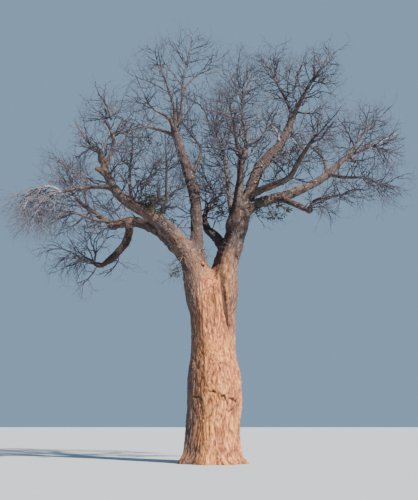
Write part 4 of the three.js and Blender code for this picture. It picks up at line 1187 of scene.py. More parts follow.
# Lines that show on the front of the trunk: x and z along each, the height over the
# bark (below 0 for a furrow), and the half widths to its left and to its right.
TRUNK_LINES = {
    "face_edge": (
        [(-0.75, 7.4), (-0.5, 6.2), (-0.36, 4.8), (-0.3, 3.2), (-0.37, 0.9)], 0.03, 0.08, 0.3,
    ),
    "fork_trough": ([(0.36, 8.1), (0.43, 7.7), (0.48, 7.2), (0.52, 6.6)], -0.06, 0.12, 0.1),
    "fork_furrow": ([(0.5, 7.1), (0.55, 6.6), (0.62, 5.9), (0.73, 5.3)], -0.12, 0.08, 0.07),
    "fork_ridge": ([(0.16, 7.9), (0.27, 7.0), (0.39, 6.3), (0.5, 5.5)], 0.09, 0.09, 0.07),
    "right_column": ([(0.9, 8.4), (0.86, 7.2), (0.84, 6.2), (0.86, 5.1)], 0.09, 0.17, 0.2),
    "fork_thread": ([(0.3, 8.0), (0.36, 7.3), (0.44, 6.6), (0.52, 6.0)], -0.05, 0.035, 0.035),
    "fork_rope": ([(0.02, 7.7), (0.08, 7.0), (0.2, 6.2), (0.34, 5.6)], 0.05, 0.06, 0.06),
    "notch": ([(0.1, 8.2), (0.14, 7.8), (0.18, 7.45)], -0.05, 0.08, 0.08),
    "left_crack": ([(-0.2, 2.85), (0.0, 2.93), (0.2, 2.8), (0.32, 2.35)], -0.065, 0.04, 0.035),
    "middle_crack": ([(0.25, 2.7), (0.45, 2.74), (0.56, 2.5), (0.66, 2.25)], -0.07, 0.04, 0.035),
    "low_crack": ([(0.45, 2.25), (0.66, 2.08), (0.85, 2.25)], -0.055, 0.035, 0.03),
    "right_crack": ([(0.62, 2.66), (0.83, 2.6), (1.03, 2.45)], -0.07, 0.04, 0.035),
    "shade_crack": ([(-0.9, 2.7), (-0.6, 2.72), (-0.4, 2.5)], -0.055, 0.035, 0.035),
}
LINE_FADE = 0.22  # the share at each end of a line over which it fades away
LINE_FRONT = (0, -0.3)  # from which y to which y the lines come up on the front
LINE_TOP = 8.4


def line_relief(points):
    """The lines on the front of the trunk, as a height over each point."""
    height = np.zeros(len(points))
    flat = points[:, [0, 2]]
    front = ramp(points[:, 1], LINE_FRONT) * (points[:, 2] < LINE_TOP)
    for path, rise, left, right in TRUNK_LINES.values():
        best = np.full(len(points), np.inf)
        beside = np.zeros(len(points))
        place = np.zeros(len(points))
        for index, (start, end) in enumerate(zip(path[:-1], path[1:])):
            start, span = np.array(start), np.subtract(end, start)
            t = np.clip((flat - start) @ span / (span @ span), 0, 1)
            away = flat - start - t[:, None] * span
            distance = np.hypot(away[:, 0], away[:, 1])
            closer = distance < best
            best = np.where(closer, distance, best)
            beside = np.where(closer, away[:, 0], beside)
            place = np.where(closer, (index + t) / (len(path) - 1), place)
        width = np.where(beside < 0, left, right)
        fade = np.clip(np.minimum(place, 1 - place) / LINE_FADE, 0, 1)
        height += rise * front * fade * np.exp(-((best / width) ** 2))
    return height


TRUNK_SEED = 11
LIMB_SEED = 101
LIMB_SEED_STEP = 13
ROOT_SHARE = 1.8  # how far up a limb its carrier's bark reaches, as a share of its girth
ROOT_FADE = 0.15
MINGLE = (0.02, 0.06)  # how wide two limbs' barks mingle, and for each metre of girth
LEAST_WEIGHT = 0.01

# From where to where the bark turns grey: with the girth, with the height, on the column
# right of the fork, partly as painted shade, and round to the left and the back of the trunk,
# where it is painted shade on the sides turned from the sun.

AGED_GIRTH = (1.0, 0.3)
AGED_HEIGHT = (5.2, 9.6)
COLUMN_X = (0.3, 0.9)
COLUMN_HEIGHT = (4.2, 6.6)
# partly grey bark carried down from the right stem, partly painted shade on the trunk's right side
COLUMN_GREY_AND_SHADE = 0.8
TURNED_FROM = (-0.3, 0.1)  # x below which it counts as left, y above which as back
# painted shade: grey on the left and back of the trunk, which face away from the sun
SIDE_SHADE_TURN = (0, 0.6)
SIDE_SHADE_GREY = 0.78
ON_TRUNK = (9, 8)
QUIET_X = (-0.1, -0.5)  # where the relief grows quieter towards the left of the trunk
QUIET_SHARE = 0.5
LINE_CRACK = 0.06  # the depth at which a line counts as a whole crack
DEEPEST_CRACK = 1.6


def senses_near(points, limbs):
    """What the trunk and each limb tell: of which points, the sense, a seed, and how dark the bark is painted, as
    darker bark and painted shade.
    """
    senses = [(np.arange(len(points)), sense_trunk(points), TRUNK_SEED, 0)]
    for number, (name, limb) in enumerate(limbs.items()):
        near = limb.near(points)
        if not near.size:
            continue
        sense = limb.sense(points[near])
        root = ramp(sense.grain[:, 2] / (ROOT_SHARE * sense.girth), (1, 0))
        sense = sense._replace(gap=sense.gap + ROOT_FADE * root)
        dark_and_shade = np.maximum(DARK_AND_SHADED_LIMBS.get(name, 0), sense.shade)
        senses.append((near, sense, LIMB_SEED + LIMB_SEED_STEP * number, dark_and_shade))
    return senses


def age_and_shade_of(points, girth):
    """How grey the bark is, from 0 to 1: with age on thin high limbs, partly as painted shade on the column, and as
    painted shade on the left and back of the trunk.
    """
    x, y, z = points.T
    thin_and_high = ramp(girth, AGED_GIRTH) * ramp(z, AGED_HEIGHT)
    column = COLUMN_GREY_AND_SHADE * ramp(x, COLUMN_X) * ramp(z, COLUMN_HEIGHT)
    turned = np.maximum(TURNED_FROM[0] - x, y - TURNED_FROM[1])
    side_shade = SIDE_SHADE_GREY * ramp(turned, SIDE_SHADE_TURN) * ramp(z, ON_TRUNK)
    return 1 - (1 - thin_and_high) * (1 - column) * (1 - side_shade)


def dress(points, limbs):
    """The bark's height over every point, its crack, its greying by age and painted shade, its darkness as darker bark
    and painted shade, and its grain.
    """
    senses = senses_near(points, limbs)
    least = np.full(len(points), np.inf)
    for near, sense, _, _ in senses:
        least[near] = np.minimum(least[near], sense.gap)
    total, strongest = np.zeros((2, len(points)))
    sums, grain = np.zeros((len(points), 4)), np.zeros((len(points), 3))
    for near, sense, seed, dark_and_shade in senses:
        weight = np.exp(-(sense.gap - least[near]) / (MINGLE[0] + MINGLE[1] * sense.girth))
        used = weight > LEAST_WEIGHT
        near, weight = near[used], weight[used]
        girth, own_grain = sense.girth[used], sense.grain[used]
        height, crack = bark_relief(own_grain, girth, seed)
        dark_and_shade = np.broadcast_to(dark_and_shade, used.shape)[used]
        sums[near] += weight[:, None] * np.column_stack([height, crack, girth, dark_and_shade])
        total[near] += weight
        wins = weight > strongest[near]
        strongest[near[wins]] = weight[wins]
        grain[near[wins]] = own_grain[wins]
    height, crack, girth, dark_and_shade = (sums / total[:, None]).T
    lines = line_relief(points)
    quiet = QUIET_SHARE * ramp(points[:, 0], QUIET_X) * ramp(points[:, 2], ON_TRUNK)
    crack = np.clip(crack + np.maximum(-lines, 0) / LINE_CRACK, 0, DEEPEST_CRACK)
    marks = {"crack": crack, "age_and_shade": age_and_shade_of(points, girth), "dark_and_shade": dark_and_shade}
    return height * (1 - quiet) + lines, marks, grain


SKIN_VOXEL = 0.034
TRUNK_SIDES = 40
LIMB_SIDES = 16
SETTLE_ROUNDS = 3
SETTLE_MOST = 0.1  # how far one round may move a point
SETTLE_BELOW = 0.08  # how far below the ground points are still moved
CUT_DEPTH = 0.3  # how far the raw body reaches below the flat cut


def raw_body(limbs):
    """Trunk and boughs as crossing tubes, remeshed into one closed skin."""
    rows = TRUNK_ROWS[:, [3, 3, 0, 1]]
    rows[:, 1] = 0
    rows = np.vstack([rows[0] - (0, 0, CUT_DEPTH, 0), rows])
    points, faces = tubes(rows[None], TRUNK_SIDES, pointed=False)
    deep = np.concatenate([[TRUNK_ROWS[0, 2]], TRUNK_ROWS[:, 2]]) / rows[:, 3]
    points[:, 1] *= np.repeat(deep, TRUNK_SIDES)
    parts = [(points, faces)]
    for limb in limbs.values():
        parts.append(tubes(limb.line[None], LIMB_SIDES, pointed=False))
    mesh = mesh_of("raw_body", *joined(parts))
    raw = bpy.data.objects.new("raw_body", mesh)
    bpy.context.scene.collection.objects.link(raw)
    remesh = raw.modifiers.new("skin", "REMESH")
    remesh.mode = "VOXEL"
    remesh.voxel_size = SKIN_VOXEL
    depsgraph = bpy.context.evaluated_depsgraph_get()
    skin = bpy.data.meshes.new_from_object(raw.evaluated_get(depsgraph))
    bpy.data.objects.remove(raw)
    bpy.data.meshes.remove(mesh)
    return skin


def places(mesh):
    points = np.empty(3 * len(mesh.vertices), np.float32)
    mesh.vertices.foreach_get("co", points)
    return points.reshape(-1, 3).astype(float)


def cut_flat(mesh):
    """Cuts the skin off flat at the ground and closes it there."""
    work = bmesh.new()
    work.from_mesh(mesh)
    everything = work.verts[:] + work.edges[:] + work.faces[:]
    cut = bmesh.ops.bisect_plane(
        work, geom=everything, plane_co=(0, 0, 0), plane_no=(0, 0, -1), clear_outer=True
    )
    rim = [edge for edge in cut["geom_cut"] if isinstance(edge, bmesh.types.BMEdge)]
    bmesh.ops.edgeloop_fill(work, edges=rim)
    work.to_mesh(mesh)
    work.free()


SPLIT_HEIGHT = 8.9  # where the skin is parted into trunk and boughs


def part_of(mesh, name, wanted):
    """A copy of a mesh with only the faces whose centres are wanted."""
    work = bmesh.new()
    work.from_mesh(mesh)
    others = [face for face in work.faces if not wanted(face.calc_center_median())]
    bmesh.ops.delete(work, geom=others, context="FACES")
    part = bpy.data.meshes.new(name)
    work.to_mesh(part)
    work.free()
    return part


def settled(points, limbs):
    """Points of the skin, moved onto the surface of the blended body."""
    for _ in range(SETTLE_ROUNDS):
        gap, out = sense_tree(points, limbs)
        points = points - np.clip(gap, -SETTLE_MOST, SETTLE_MOST)[:, None] * out
    return points


def write_marks(mesh, marks, grain):
    """Keeps what the bark's material needs to know on the points of the mesh."""
    for name, values in marks.items():
        mark = mesh.attributes.new(name, "FLOAT", "POINT")
        mark.data.foreach_set("value", values.astype(np.float32))
    mark = mesh.attributes.new("grain", "FLOAT_VECTOR", "POINT")
    mark.data.foreach_set("vector", grain.astype(np.float32).ravel())


def add_bark(limbs, material):
    """One skin over trunk and boughs, with its relief, cut flat at the ground."""
    left = tuple(name for name in LIMBS if LIMBS[name][-1][0] < 0)
    right = tuple(name for name in LIMBS if name not in left)
    mesh = raw_body(limbs)
    points = places(mesh)
    kept = points[:, 2] > -SETTLE_BELOW
    points[kept] = settled(points[kept], limbs)
    _, out = sense_tree(points, limbs)
    height, marks, grain = dress(points, limbs)
    points[kept] += height[kept, None] * out[kept]
    mesh.vertices.foreach_set("co", points.astype(np.float32).ravel())
    write_marks(mesh, marks, grain)
    mesh.update()
    cut_flat(mesh)
    kinds = (
        ("trunk_bark", ("trunk",), lambda centre: centre.z < SPLIT_HEIGHT),
        ("left_bark", left, lambda centre: centre.z >= SPLIT_HEIGHT and centre.x < 0),
        ("right_bark", right, lambda centre: centre.z >= SPLIT_HEIGHT and centre.x >= 0),
    )
    for name, replaced, wanted in kinds:
        piece_of(name, part_of(mesh, name, wanted), material, "bark", replaced)
    bpy.data.meshes.remove(mesh)


# The crown


class Mass:
    """A mass of twigs and the space it keeps to."""

    def __init__(self, name, limbs):
        self.name = name
        bough, seed, centre, half, lift = MASSES[name]
        self.seed = np.array([seed], np.uint32)
        self.centre = np.array(centre)
        self.half = np.array(half)
        self.lift = lift
        self.stem = self.stem_route(limbs[bough].route)

    def share(self, points):
        return np.linalg.norm((points - self.centre) / self.half, axis=-1)

    def room(self, at, way):
        """How far one can go from a point before leaving the space."""
        start, go = (at - self.centre) / self.half, way / self.half
        a, b = (go * go).sum(-1), (start * go).sum(-1)
        inside = b * b - a * ((start * start).sum(-1) - 1)
        return np.where(inside > 0, (np.sqrt(np.maximum(inside, 0)) - b) / a, 0)

    def stem_route(self, route):
        """The stem carries the bough on, as a batch of one route."""
        line = curves(route[None], 2)[0]
        tip, before = line[-1], line[-2]
        way = unit(tip[:3] - before[:3])
        start = tip[:3] + SEAT * way
        knee = start + KNEE * way
        to_centre = self.centre - knee
        inward = unit(to_centre)
        bend = knee + STEM_BEND * np.linalg.norm(to_centre) * unit(way + inward)
        middle = bend * (1 - STEM_MIDDLE) + self.centre * STEM_MIDDLE
        sway = [STEM_SWAY * spread(self.seed, choice)[0] for choice in (1, 2)]
        outward = unit(inward + (*sway, self.lift))
        end = middle + STEM_REACH * self.room(middle, outward) * outward
        points = np.array([start, knee, bend, middle, end])
        return np.column_stack([points, tip[3] * np.array(STEM_THIN)])[None]


def pieces_of(routes):
    """The straight pieces of a batch of routes: ends and greater radius."""
    starts, ends = routes[:, :-1].reshape(-1, 4), routes[:, 1:].reshape(-1, 4)
    return np.column_stack([starts[:, :3], ends[:, :3], np.maximum(starts[:, 3], ends[:, 3])])


PARALLEL = 1e-12


def too_near(pieces, others):
    """Whether each straight piece comes too near to any of some others."""
    if not len(pieces) or not len(others):
        return np.zeros(len(pieces), bool)
    a, b = pieces[:, None, 0:3], pieces[:, None, 3:6]
    c, d = others[None, :, 0:3], others[None, :, 3:6]
    u, v, w = b - a, d - c, a - c
    uu, uv, vv = (u * u).sum(-1), (u * v).sum(-1), (v * v).sum(-1)
    uw, vw = (u * w).sum(-1), (v * w).sum(-1)
    flat = uu * vv - uv * uv
    first = np.clip((uv * vw - vv * uw) / np.maximum(flat, PARALLEL), 0, 1)
    first = np.where(flat > PARALLEL, first, 0)
    t = np.clip((uv * first + vw) / vv, 0, 1)
    s = np.clip((uv * t - uw) / uu, 0, 1)
    gap = np.linalg.norm(w + s[..., None] * u - t[..., None] * v, axis=-1)
    return (gap < pieces[:, None, 6] + others[None, :, 6] + TWIG_CLEAR).any(1)


def along(routes, where):
    """The point, radius and direction at a share of the way along each route."""
    spans = routes.shape[1] - 1
    span = np.minimum((where * spans).astype(int), spans - 1)
    t = (where * spans - span)[:, None]
    row = np.arange(len(routes))
    start, end = routes[row, span], routes[row, span + 1]
    point = start * (1 - t) + end * t
    return point[:, :3], point[:, 3], unit(end[:, :3] - start[:, :3])


def leaving(way, angle, turn):
    """The direction that leaves another at an angle, on the side that the turn gives."""
    side = square(way)
    out = side * np.cos(turn)[:, None] + np.cross(way, side) * np.sin(turn)[:, None]
    return way * np.cos(angle)[:, None] + out * np.sin(angle)[:, None]


def offshoots(parents, keys, order, mass, lift):
    """Every side branch of a batch of parents, before any is left out."""
    index = np.tile(np.arange(order.count), len(keys))
    parents = np.repeat(parents, order.count, axis=0)
    keys = child_keys(np.repeat(keys, order.count), index + order.first)
    step = (index + 0.5 * chance(keys, 1)) / order.count
    turn = index * GOLDEN_TURN + order.turn_chance * spread(keys, 2)
    at, girth, way = along(parents, order.start + (1 - order.start) * step)
    return shoots(at, girth, way, turn, keys, order, mass, lift)


def shoots(at, girth, way, turn, keys, order, mass, lift):
    """Bent side branches that leave given places, and their keys."""
    way = leaving(way, order.angle + order.angle_chance * spread(keys, 3), turn)
    bent = unit(way + (0, 0, lift * order.lift))
    size = order.longest * (LENGTH[0] + LENGTH[1] * chance(keys, 5))
    if mass is not None:
        size = np.minimum(size, mass.room(at, bent) * (REACH[0] + REACH[1] * chance(keys, 4)))
    wobble = np.stack([WOBBLE * spread(keys, choice) for choice in (6, 7, 8)], 1)
    middle = at + unit(way + wobble) * size[:, None] / 2
    end = middle + bent * size[:, None] / 2
    radius = np.minimum(girth * order.thin, order.thickest)[:, None] * TAPER
    routes = np.concatenate([np.stack([at, middle, end], 1), radius[..., None]], axis=2)
    long_enough = np.linalg.norm(end - at, axis=1) >= order.shortest
    return routes[long_enough], keys[long_enough]


def in_own_space(points, mass, masses):
    own = mass.share(points)
    least = np.min([other.share(points) for other in masses], axis=0)
    return (own <= SPACE_EDGE) & (own <= least)


def fitting(routes, mass, masses, obstacles):
    """Which routes keep to their space and clear of everything they pass."""
    starts, ends = routes[:, :-1, :3], routes[:, 1:, :3]
    kept = np.ones(len(routes), bool)
    for t in SPACE_CHECKS:
        kept &= in_own_space(starts * (1 - t) + ends * t, mass, masses).all(1)
    shown = np.flatnonzero(kept)
    near = too_near(pieces_of(routes[shown]), obstacles).reshape(len(shown), -1)
    kept[shown] = ~near.any(1)
    return kept


class Grown(NamedTuple):
    """A generation of twigs: their routes and keys."""

    routes: np.ndarray
    keys: np.ndarray


def grow_coarse(masses, limb_pieces):
    """The stems, branches and twigs that the solids have too, by the same rule."""
    taken = {mass.name: [pieces_of(mass.stem)] for mass in masses}
    grown = {mass.name: [Grown(mass.stem, mass.seed)] for mass in masses}
    for order in (BRANCH, TWIG):
        for mass in masses:
            parents = grown[mass.name][-1]
            if not len(parents.keys):
                grown[mass.name].append(parents)
                continue
            routes, keys = offshoots(parents.routes, parents.keys, order, mass, mass.lift)
            tested = routes[:, [0, 2]] if order.straight else routes
            others = [piece for name in taken if name != mass.name for piece in taken[name]]
            kept = fitting(tested, mass, masses, np.concatenate([limb_pieces, *others]))
            grown[mass.name].append(Grown(routes[kept], keys[kept]))
            taken[mass.name].append(pieces_of(tested[kept]))
    return grown


def in_reach(points):
    """Whether points keep within what the whole tree may fill."""
    low, high = (np.array(corner) for corner in cad_box)
    return np.all((points > low - BOX_EDGE) & (points < high + BOX_EDGE), axis=-1)


def next_on_mass(parents, order, mass, obstacles, fullness):
    order = order._replace(count=max(1, round(order.count * fullness)))
    routes, keys = offshoots(parents.routes, parents.keys, order, None, mass.lift)
    edge = RAGGED_EDGE[0] + RAGGED_EDGE[1] * chance(keys, EDGE_CHOICE)
    kept = mass.share(routes[:, -1, :3]) < edge
    kept &= in_reach(routes[:, 1:, :3]).all(1)
    kept[kept] = ~too_near(pieces_of(routes[kept][:, 1:]), obstacles).reshape(-1, 1).any(1)
    return Grown(routes[kept], keys[kept])


def grow_fine(grown, mass, limb_pieces):
    """The finer generations on a mass: shoots, twiglets and their tips."""
    obstacles = limb_pieces[mass.share(limb_pieces[:, :3]) < NEAR_MASS]
    fullness = FULLNESS.get(mass.name, 1)
    shoots_kept = []
    for parents, order in zip(grown, (STEM_SHOOT, BRANCH_SHOOT, TWIG_SHOOT)):
        shoots_kept.append(next_on_mass(parents, order, mass, obstacles, fullness))
    first = Grown(*(np.concatenate(column) for column in zip(*shoots_kept)))
    second = next_on_mass(first, TWIGLET, mass, obstacles, 1)
    third = next_on_mass(second, TIP, mass, obstacles, 1)
    return first, second, third


def crooked(routes, keys, steps, share):
    """Smooth lines through routes, knocked a little out of true."""
    lines = curves(routes, steps)
    length = np.linalg.norm(routes[:, -1, :3] - routes[:, 0, :3], axis=1)
    last = lines.shape[1] - 1
    for place in range(1, last + 1):
        for axis in range(3):
            knock = spread(keys, KNOCK_CHOICE + 3 * place + axis) * share * length
            lines[:, place, axis] += knock * (END_KNOCK if place == last else 1)
    return lines


def made(grown, steps, share, sides):
    """Crooked tubes along one generation."""
    return tubes(crooked(grown.routes, grown.keys, steps, share), sides)


def coarse_meshes(grown):
    stem, branches, twigs = grown
    sunk = stem.routes.copy()
    sunk[:, 0, :3] -= STEM_SUNK * unit(sunk[:, 1, :3] - sunk[:, 0, :3])
    stem = Grown(sunk, stem.keys)
    return [made(stem, *STEM_MAKE), made(branches, *BRANCH_MAKE), made(twigs, *TWIG_MAKE)]


def fine_meshes(first, second, third):
    tips = tubes(third.routes[:, [0, 2]], TIP_SIDES)
    return [made(first, *SHOOT_MAKE), made(second, *TWIGLET_MAKE), tips]


def offshoots_along(name, line, order, count, start, lift):
    """A number of side branches spread along one line."""
    index = np.arange(count)
    seed = np.array([sum(map(ord, name))], np.uint32)
    keys = child_keys(np.repeat(seed, count), index + LATERAL_KEYS)
    where = start + (1 - start) * (index + 0.5 * chance(keys, 1)) / count
    at, girth, way = along(np.repeat(line[None], count, axis=0), where)
    turn = index * GOLDEN_TURN + spread(keys, 2)
    return shoots(at, girth, way, turn, keys, order, None, lift)


def keep_in_crown(routes, keys, masses, limb_pieces):
    kept = in_reach(routes[:, 1:, :3]).all(1)
    if masses:
        share = np.min([mass.share(routes[:, 1:, :3]) for mass in masses], axis=0)
        kept &= (share <= CROWN_EDGE).all(1)
    kept[kept] = ~too_near(pieces_of(routes[kept][:, 1:]), limb_pieces)
    return Grown(routes[kept], keys[kept])


def grow_sprays(name, line, order, density, start, lift, masses, limb_pieces, finer):
    """The generations of twigs on one limb or side bough."""
    length = np.linalg.norm(np.diff(line[:, :3], axis=0), axis=1).sum()
    count = max(1, round(density * length * (1 - start)))
    routes, keys = offshoots_along(name, line, order, count, start, lift)
    generations = [keep_in_crown(routes, keys, masses, limb_pieces)]
    for order in finer:
        parents = generations[-1]
        routes, keys = offshoots(parents.routes, parents.keys, order, None, lift)
        generations.append(keep_in_crown(routes, keys, masses, limb_pieces))
    return generations


def by_start(name, values, usual):
    """The value of the first kind of side bough that the name begins with."""
    return next((value for start, value in values.items() if name.startswith(start)), usual)


# Leaves

LEAFLETS = 5
LEAFLET_FAN = 2.3  # how far the leaflets of a leaf fan out, in radians
LEAFLET_LENGTH = 0.098
LEAFLET_OUTLINE = np.array([(0, 0), (0.45, 0.2), (0.8, 0.15), (1, 0), (0.8, -0.15), (0.45, -0.2)])
LEAFLET_FOLD = 0.35
LEAFLET_CHANCE = (0.7, 0.5)  # the least share of the length, and the chance over it
LEAF_STALK = 0.09
STALK_CHANCE = (0.6, 0.8)
STALK_ANGLE = (0.9, 0.4)  # how far a stalk turns from its twig, and the chance either way
STALK_DROP = 0.5
STALK_RADIUS = 0.003
LEAF_TILT = 0.4
SPRAY_LEAVES = 6
DRY_SHARE = 0.3

# The leafy places that show from the front: centre and half sizes in pixels, and the
# share of the twigs there that bear leaves.
LEAFY_PLACES = [
    (153, 207, 14, 13, 0.8),
    (271, 210, 21, 8, 1.0),
    (217, 217, 8, 17, 0.5),
    (178, 268, 7, 9, 1.0),
    (206, 255, 4, 9, 1.0),
    (173, 223, 3, 6, 1.0),
    (150, 165, 30, 30, 0.012),
    (262, 170, 60, 25, 0.005),
    (80, 210, 50, 30, 0.004),
]


def leafy(ends, keys):
    """Which twigs bear leaves."""
    shown = seen_from_front(ends)
    share = np.zeros(len(ends))
    for x, y, wide, high, part in LEAFY_PLACES:
        inside = ((shown[:, 0] - x) / wide) ** 2 + ((shown[:, 1] - y) / high) ** 2 < 1
        share = np.where(inside, np.maximum(share, part), share)
    return chance(keys, LEAFY_CHOICE) < share


def leaflets(base, way, flat, size):
    """Folded leaflets in their own outline, each a fan of four faces, for a batch."""
    across = np.cross(flat, way)
    count = len(base)
    x, y = LEAFLET_OUTLINE.T
    points = base[:, None] + size[:, None, None] * (
        x[:, None] * way[:, None] + y[:, None] * across[:, None]
        + LEAFLET_FOLD * np.abs(y)[:, None] * flat[:, None]
    )
    one = np.array([(0, 5, 4), (0, 4, 3), (0, 3, 2), (0, 2, 1)])
    faces = np.arange(count)[:, None, None] * len(x) + one
    return points.reshape(-1, 3), faces.reshape(-1, 3)


def leaves_on(ends, ways, keys):
    """Sprays of leaves whose leaflets fan out from one point, at the tips of twigs."""
    parts = []
    for leaf in range(SPRAY_LEAVES):
        leaf_keys = child_keys(keys, np.array([LEAF_KEYS + leaf]))
        turn = 2 * np.pi * (leaf + chance(leaf_keys, 1)) / SPRAY_LEAVES
        stalk = leaving(ways, STALK_ANGLE[0] + STALK_ANGLE[1] * spread(leaf_keys, 2), turn)
        stalk = unit(stalk - (0, 0, STALK_DROP))
        length = LEAF_STALK * (STALK_CHANCE[0] + STALK_CHANCE[1] * chance(leaf_keys, 3))
        hub = ends + stalk * length[:, None]
        flat = unit(np.cross(stalk, square(stalk)) + LEAF_TILT * stalk)
        flat = unit(flat - inner(flat, stalk) * stalk)
        side = np.cross(flat, stalk)
        size = LEAFLET_LENGTH * (LEAFLET_CHANCE[0] + LEAFLET_CHANCE[1] * chance(leaf_keys, 4))
        radius = np.full((len(ends), 2, 1), STALK_RADIUS)
        parts.append(tubes(np.concatenate([np.stack([ends, hub], 1), radius], 2), TIP_SIDES))
        for leaflet in range(LEAFLETS):
            angle = LEAFLET_FAN * (leaflet / (LEAFLETS - 1) - 0.5)
            way = stalk * math.cos(angle) + side * math.sin(angle)
            parts.append(leaflets(hub, way, flat, size * math.cos(angle / 2)))
    return joined(parts)


# Materials


class Value:
    """One output of a material's nodes. Arithmetic on it adds Math nodes."""

    def __init__(self, paint, socket):
        self.paint = paint
        self.socket = socket

    def math(self, operation, *values):
        return self.paint.node("ShaderNodeMath", {"operation": operation}, dict(enumerate(values)))

    def __add__(self, other):
        return self.math("ADD", self, other)

    def __radd__(self, other):
        return self.math("ADD", other, self)

    def __sub__(self, other):
        return self.math("SUBTRACT", self, other)

    def __rsub__(self, other):
        return self.math("SUBTRACT", other, self)

    def __mul__(self, other):
        return self.math("MULTIPLY", self, other)

    def __rmul__(self, other):
        return self.math("MULTIPLY", other, self)

    def clamp(self):
        return self.math("MINIMUM", self.math("MAXIMUM", self, 0.0), 1.0)

    def rise(self, low, high):
        """0 below low, 1 above high, and a smooth rise between them."""
        settings = {"interpolation_type": "SMOOTHSTEP"}
        return self.paint.node("ShaderNodeMapRange", settings, {0: self, 1: low, 2: high})


# The numbers of some nodes' outputs.
OBJECT_PLACE = 3
MARK_VECTOR = 1
MARK_VALUE = 2
MIXED_COLOUR = 2


class Paint:
    """A material under construction."""

    def __init__(self, name):
        self.material = bpy.data.materials.new(name)
        self.material.use_nodes = True
        self.tree = self.material.node_tree
        self.tree.nodes.clear()

    def node(self, kind, settings=None, inputs=None, output=0):
        """Adds a node, with its settings first, and gives one of its outputs."""
        node = self.tree.nodes.new(kind)
        for key, value in (settings or {}).items():
            setattr(node, key, value)
        for key, value in (inputs or {}).items():
            if isinstance(value, Value):
                self.tree.links.new(value.socket, node.inputs[key])
            else:
                node.inputs[key].default_value = value
        return Value(self, node.outputs[output]) if node.outputs else None

    def place(self):
        return self.node("ShaderNodeTexCoord", output=OBJECT_PLACE)

    def mark(self, name, output=MARK_VALUE):
        return self.node("ShaderNodeAttribute", {"attribute_name": name}, output=output)

    def scaled(self, vector, scale):
        return self.node("ShaderNodeVectorMath", {"operation": "MULTIPLY"}, {0: vector, 1: scale})

    def cloud(self, vector, scale, detail=3.0, roughness=0.5):
        inputs = {"Vector": vector, "Scale": scale, "Detail": detail, "Roughness": roughness}
        return self.node("ShaderNodeTexNoise", None, inputs)

    def mix(self, share, first, second):
        first = first if isinstance(first, Value) else (*first, 1)
        second = second if isinstance(second, Value) else (*second, 1)
        inputs = {0: share, 6: first, 7: second}
        return self.node("ShaderNodeMix", {"data_type": "RGBA"}, inputs, MIXED_COLOUR)

    def bump(self, height, distance, strength):
        inputs = {"Strength": strength, "Distance": distance, "Height": height}
        return self.node("ShaderNodeBump", None, inputs)

    def finish(self, colour, roughness, normal=None, specular=0.25):
        inputs = {"Base Color": colour, "Roughness": roughness, "Specular IOR Level": specular}
        if normal is not None:
            inputs["Normal"] = normal
        surface = self.node("ShaderNodeBsdfPrincipled", None, inputs)
        self.node("ShaderNodeOutputMaterial", None, {"Surface": surface})
        return self.material


def linear(*colour):
    """A colour given as a screen shows it, from 0 to 255, in the renderer's own scale."""
    shares = [value / 255 for value in colour]
    return tuple(((s + 0.055) / 1.055) ** 2.4 if s > 0.04045 else s / 12.92 for s in shares)


TAN_BARK = linear(214, 142, 87)
ROSE_BARK = linear(178, 110, 80)
PALE_BARK = linear(238, 178, 116)
# painted shade in the bark's cracks, furrows and fine grooves
CRACK_SHADE = linear(72, 50, 42)
GREY_BARK = linear(106, 97, 96)
BROWN_BARK = linear(70, 62, 61)
# darker bark, and painted shade on shaded limbs and on the right stem's flat face
DARK_BARK_AND_SHADE = linear(52, 47, 50)
LICHEN = linear(180, 177, 168)
TWIG_GREY = linear(88, 85, 94)
TWIG_BROWN = linear(52, 49, 56)
TWIG_PALE = linear(146, 143, 150)
PALE_TWIG = linear(98, 95, 106)
PALE_WOOD = linear(144, 138, 136)
GREEN_LEAF = linear(54, 60, 44)
DRY_LEAF = linear(78, 70, 54)
PALE_FLOOR = linear(174, 182, 190)
DULL_FLOOR = linear(166, 174, 183)


STREAKS = (21.0, 21.0, 2.6)  # how fine, across, across and along a limb
FIBRES = (52.0, 52.0, 6.0)
SPOTS = 11.0
PATCHES = 0.9


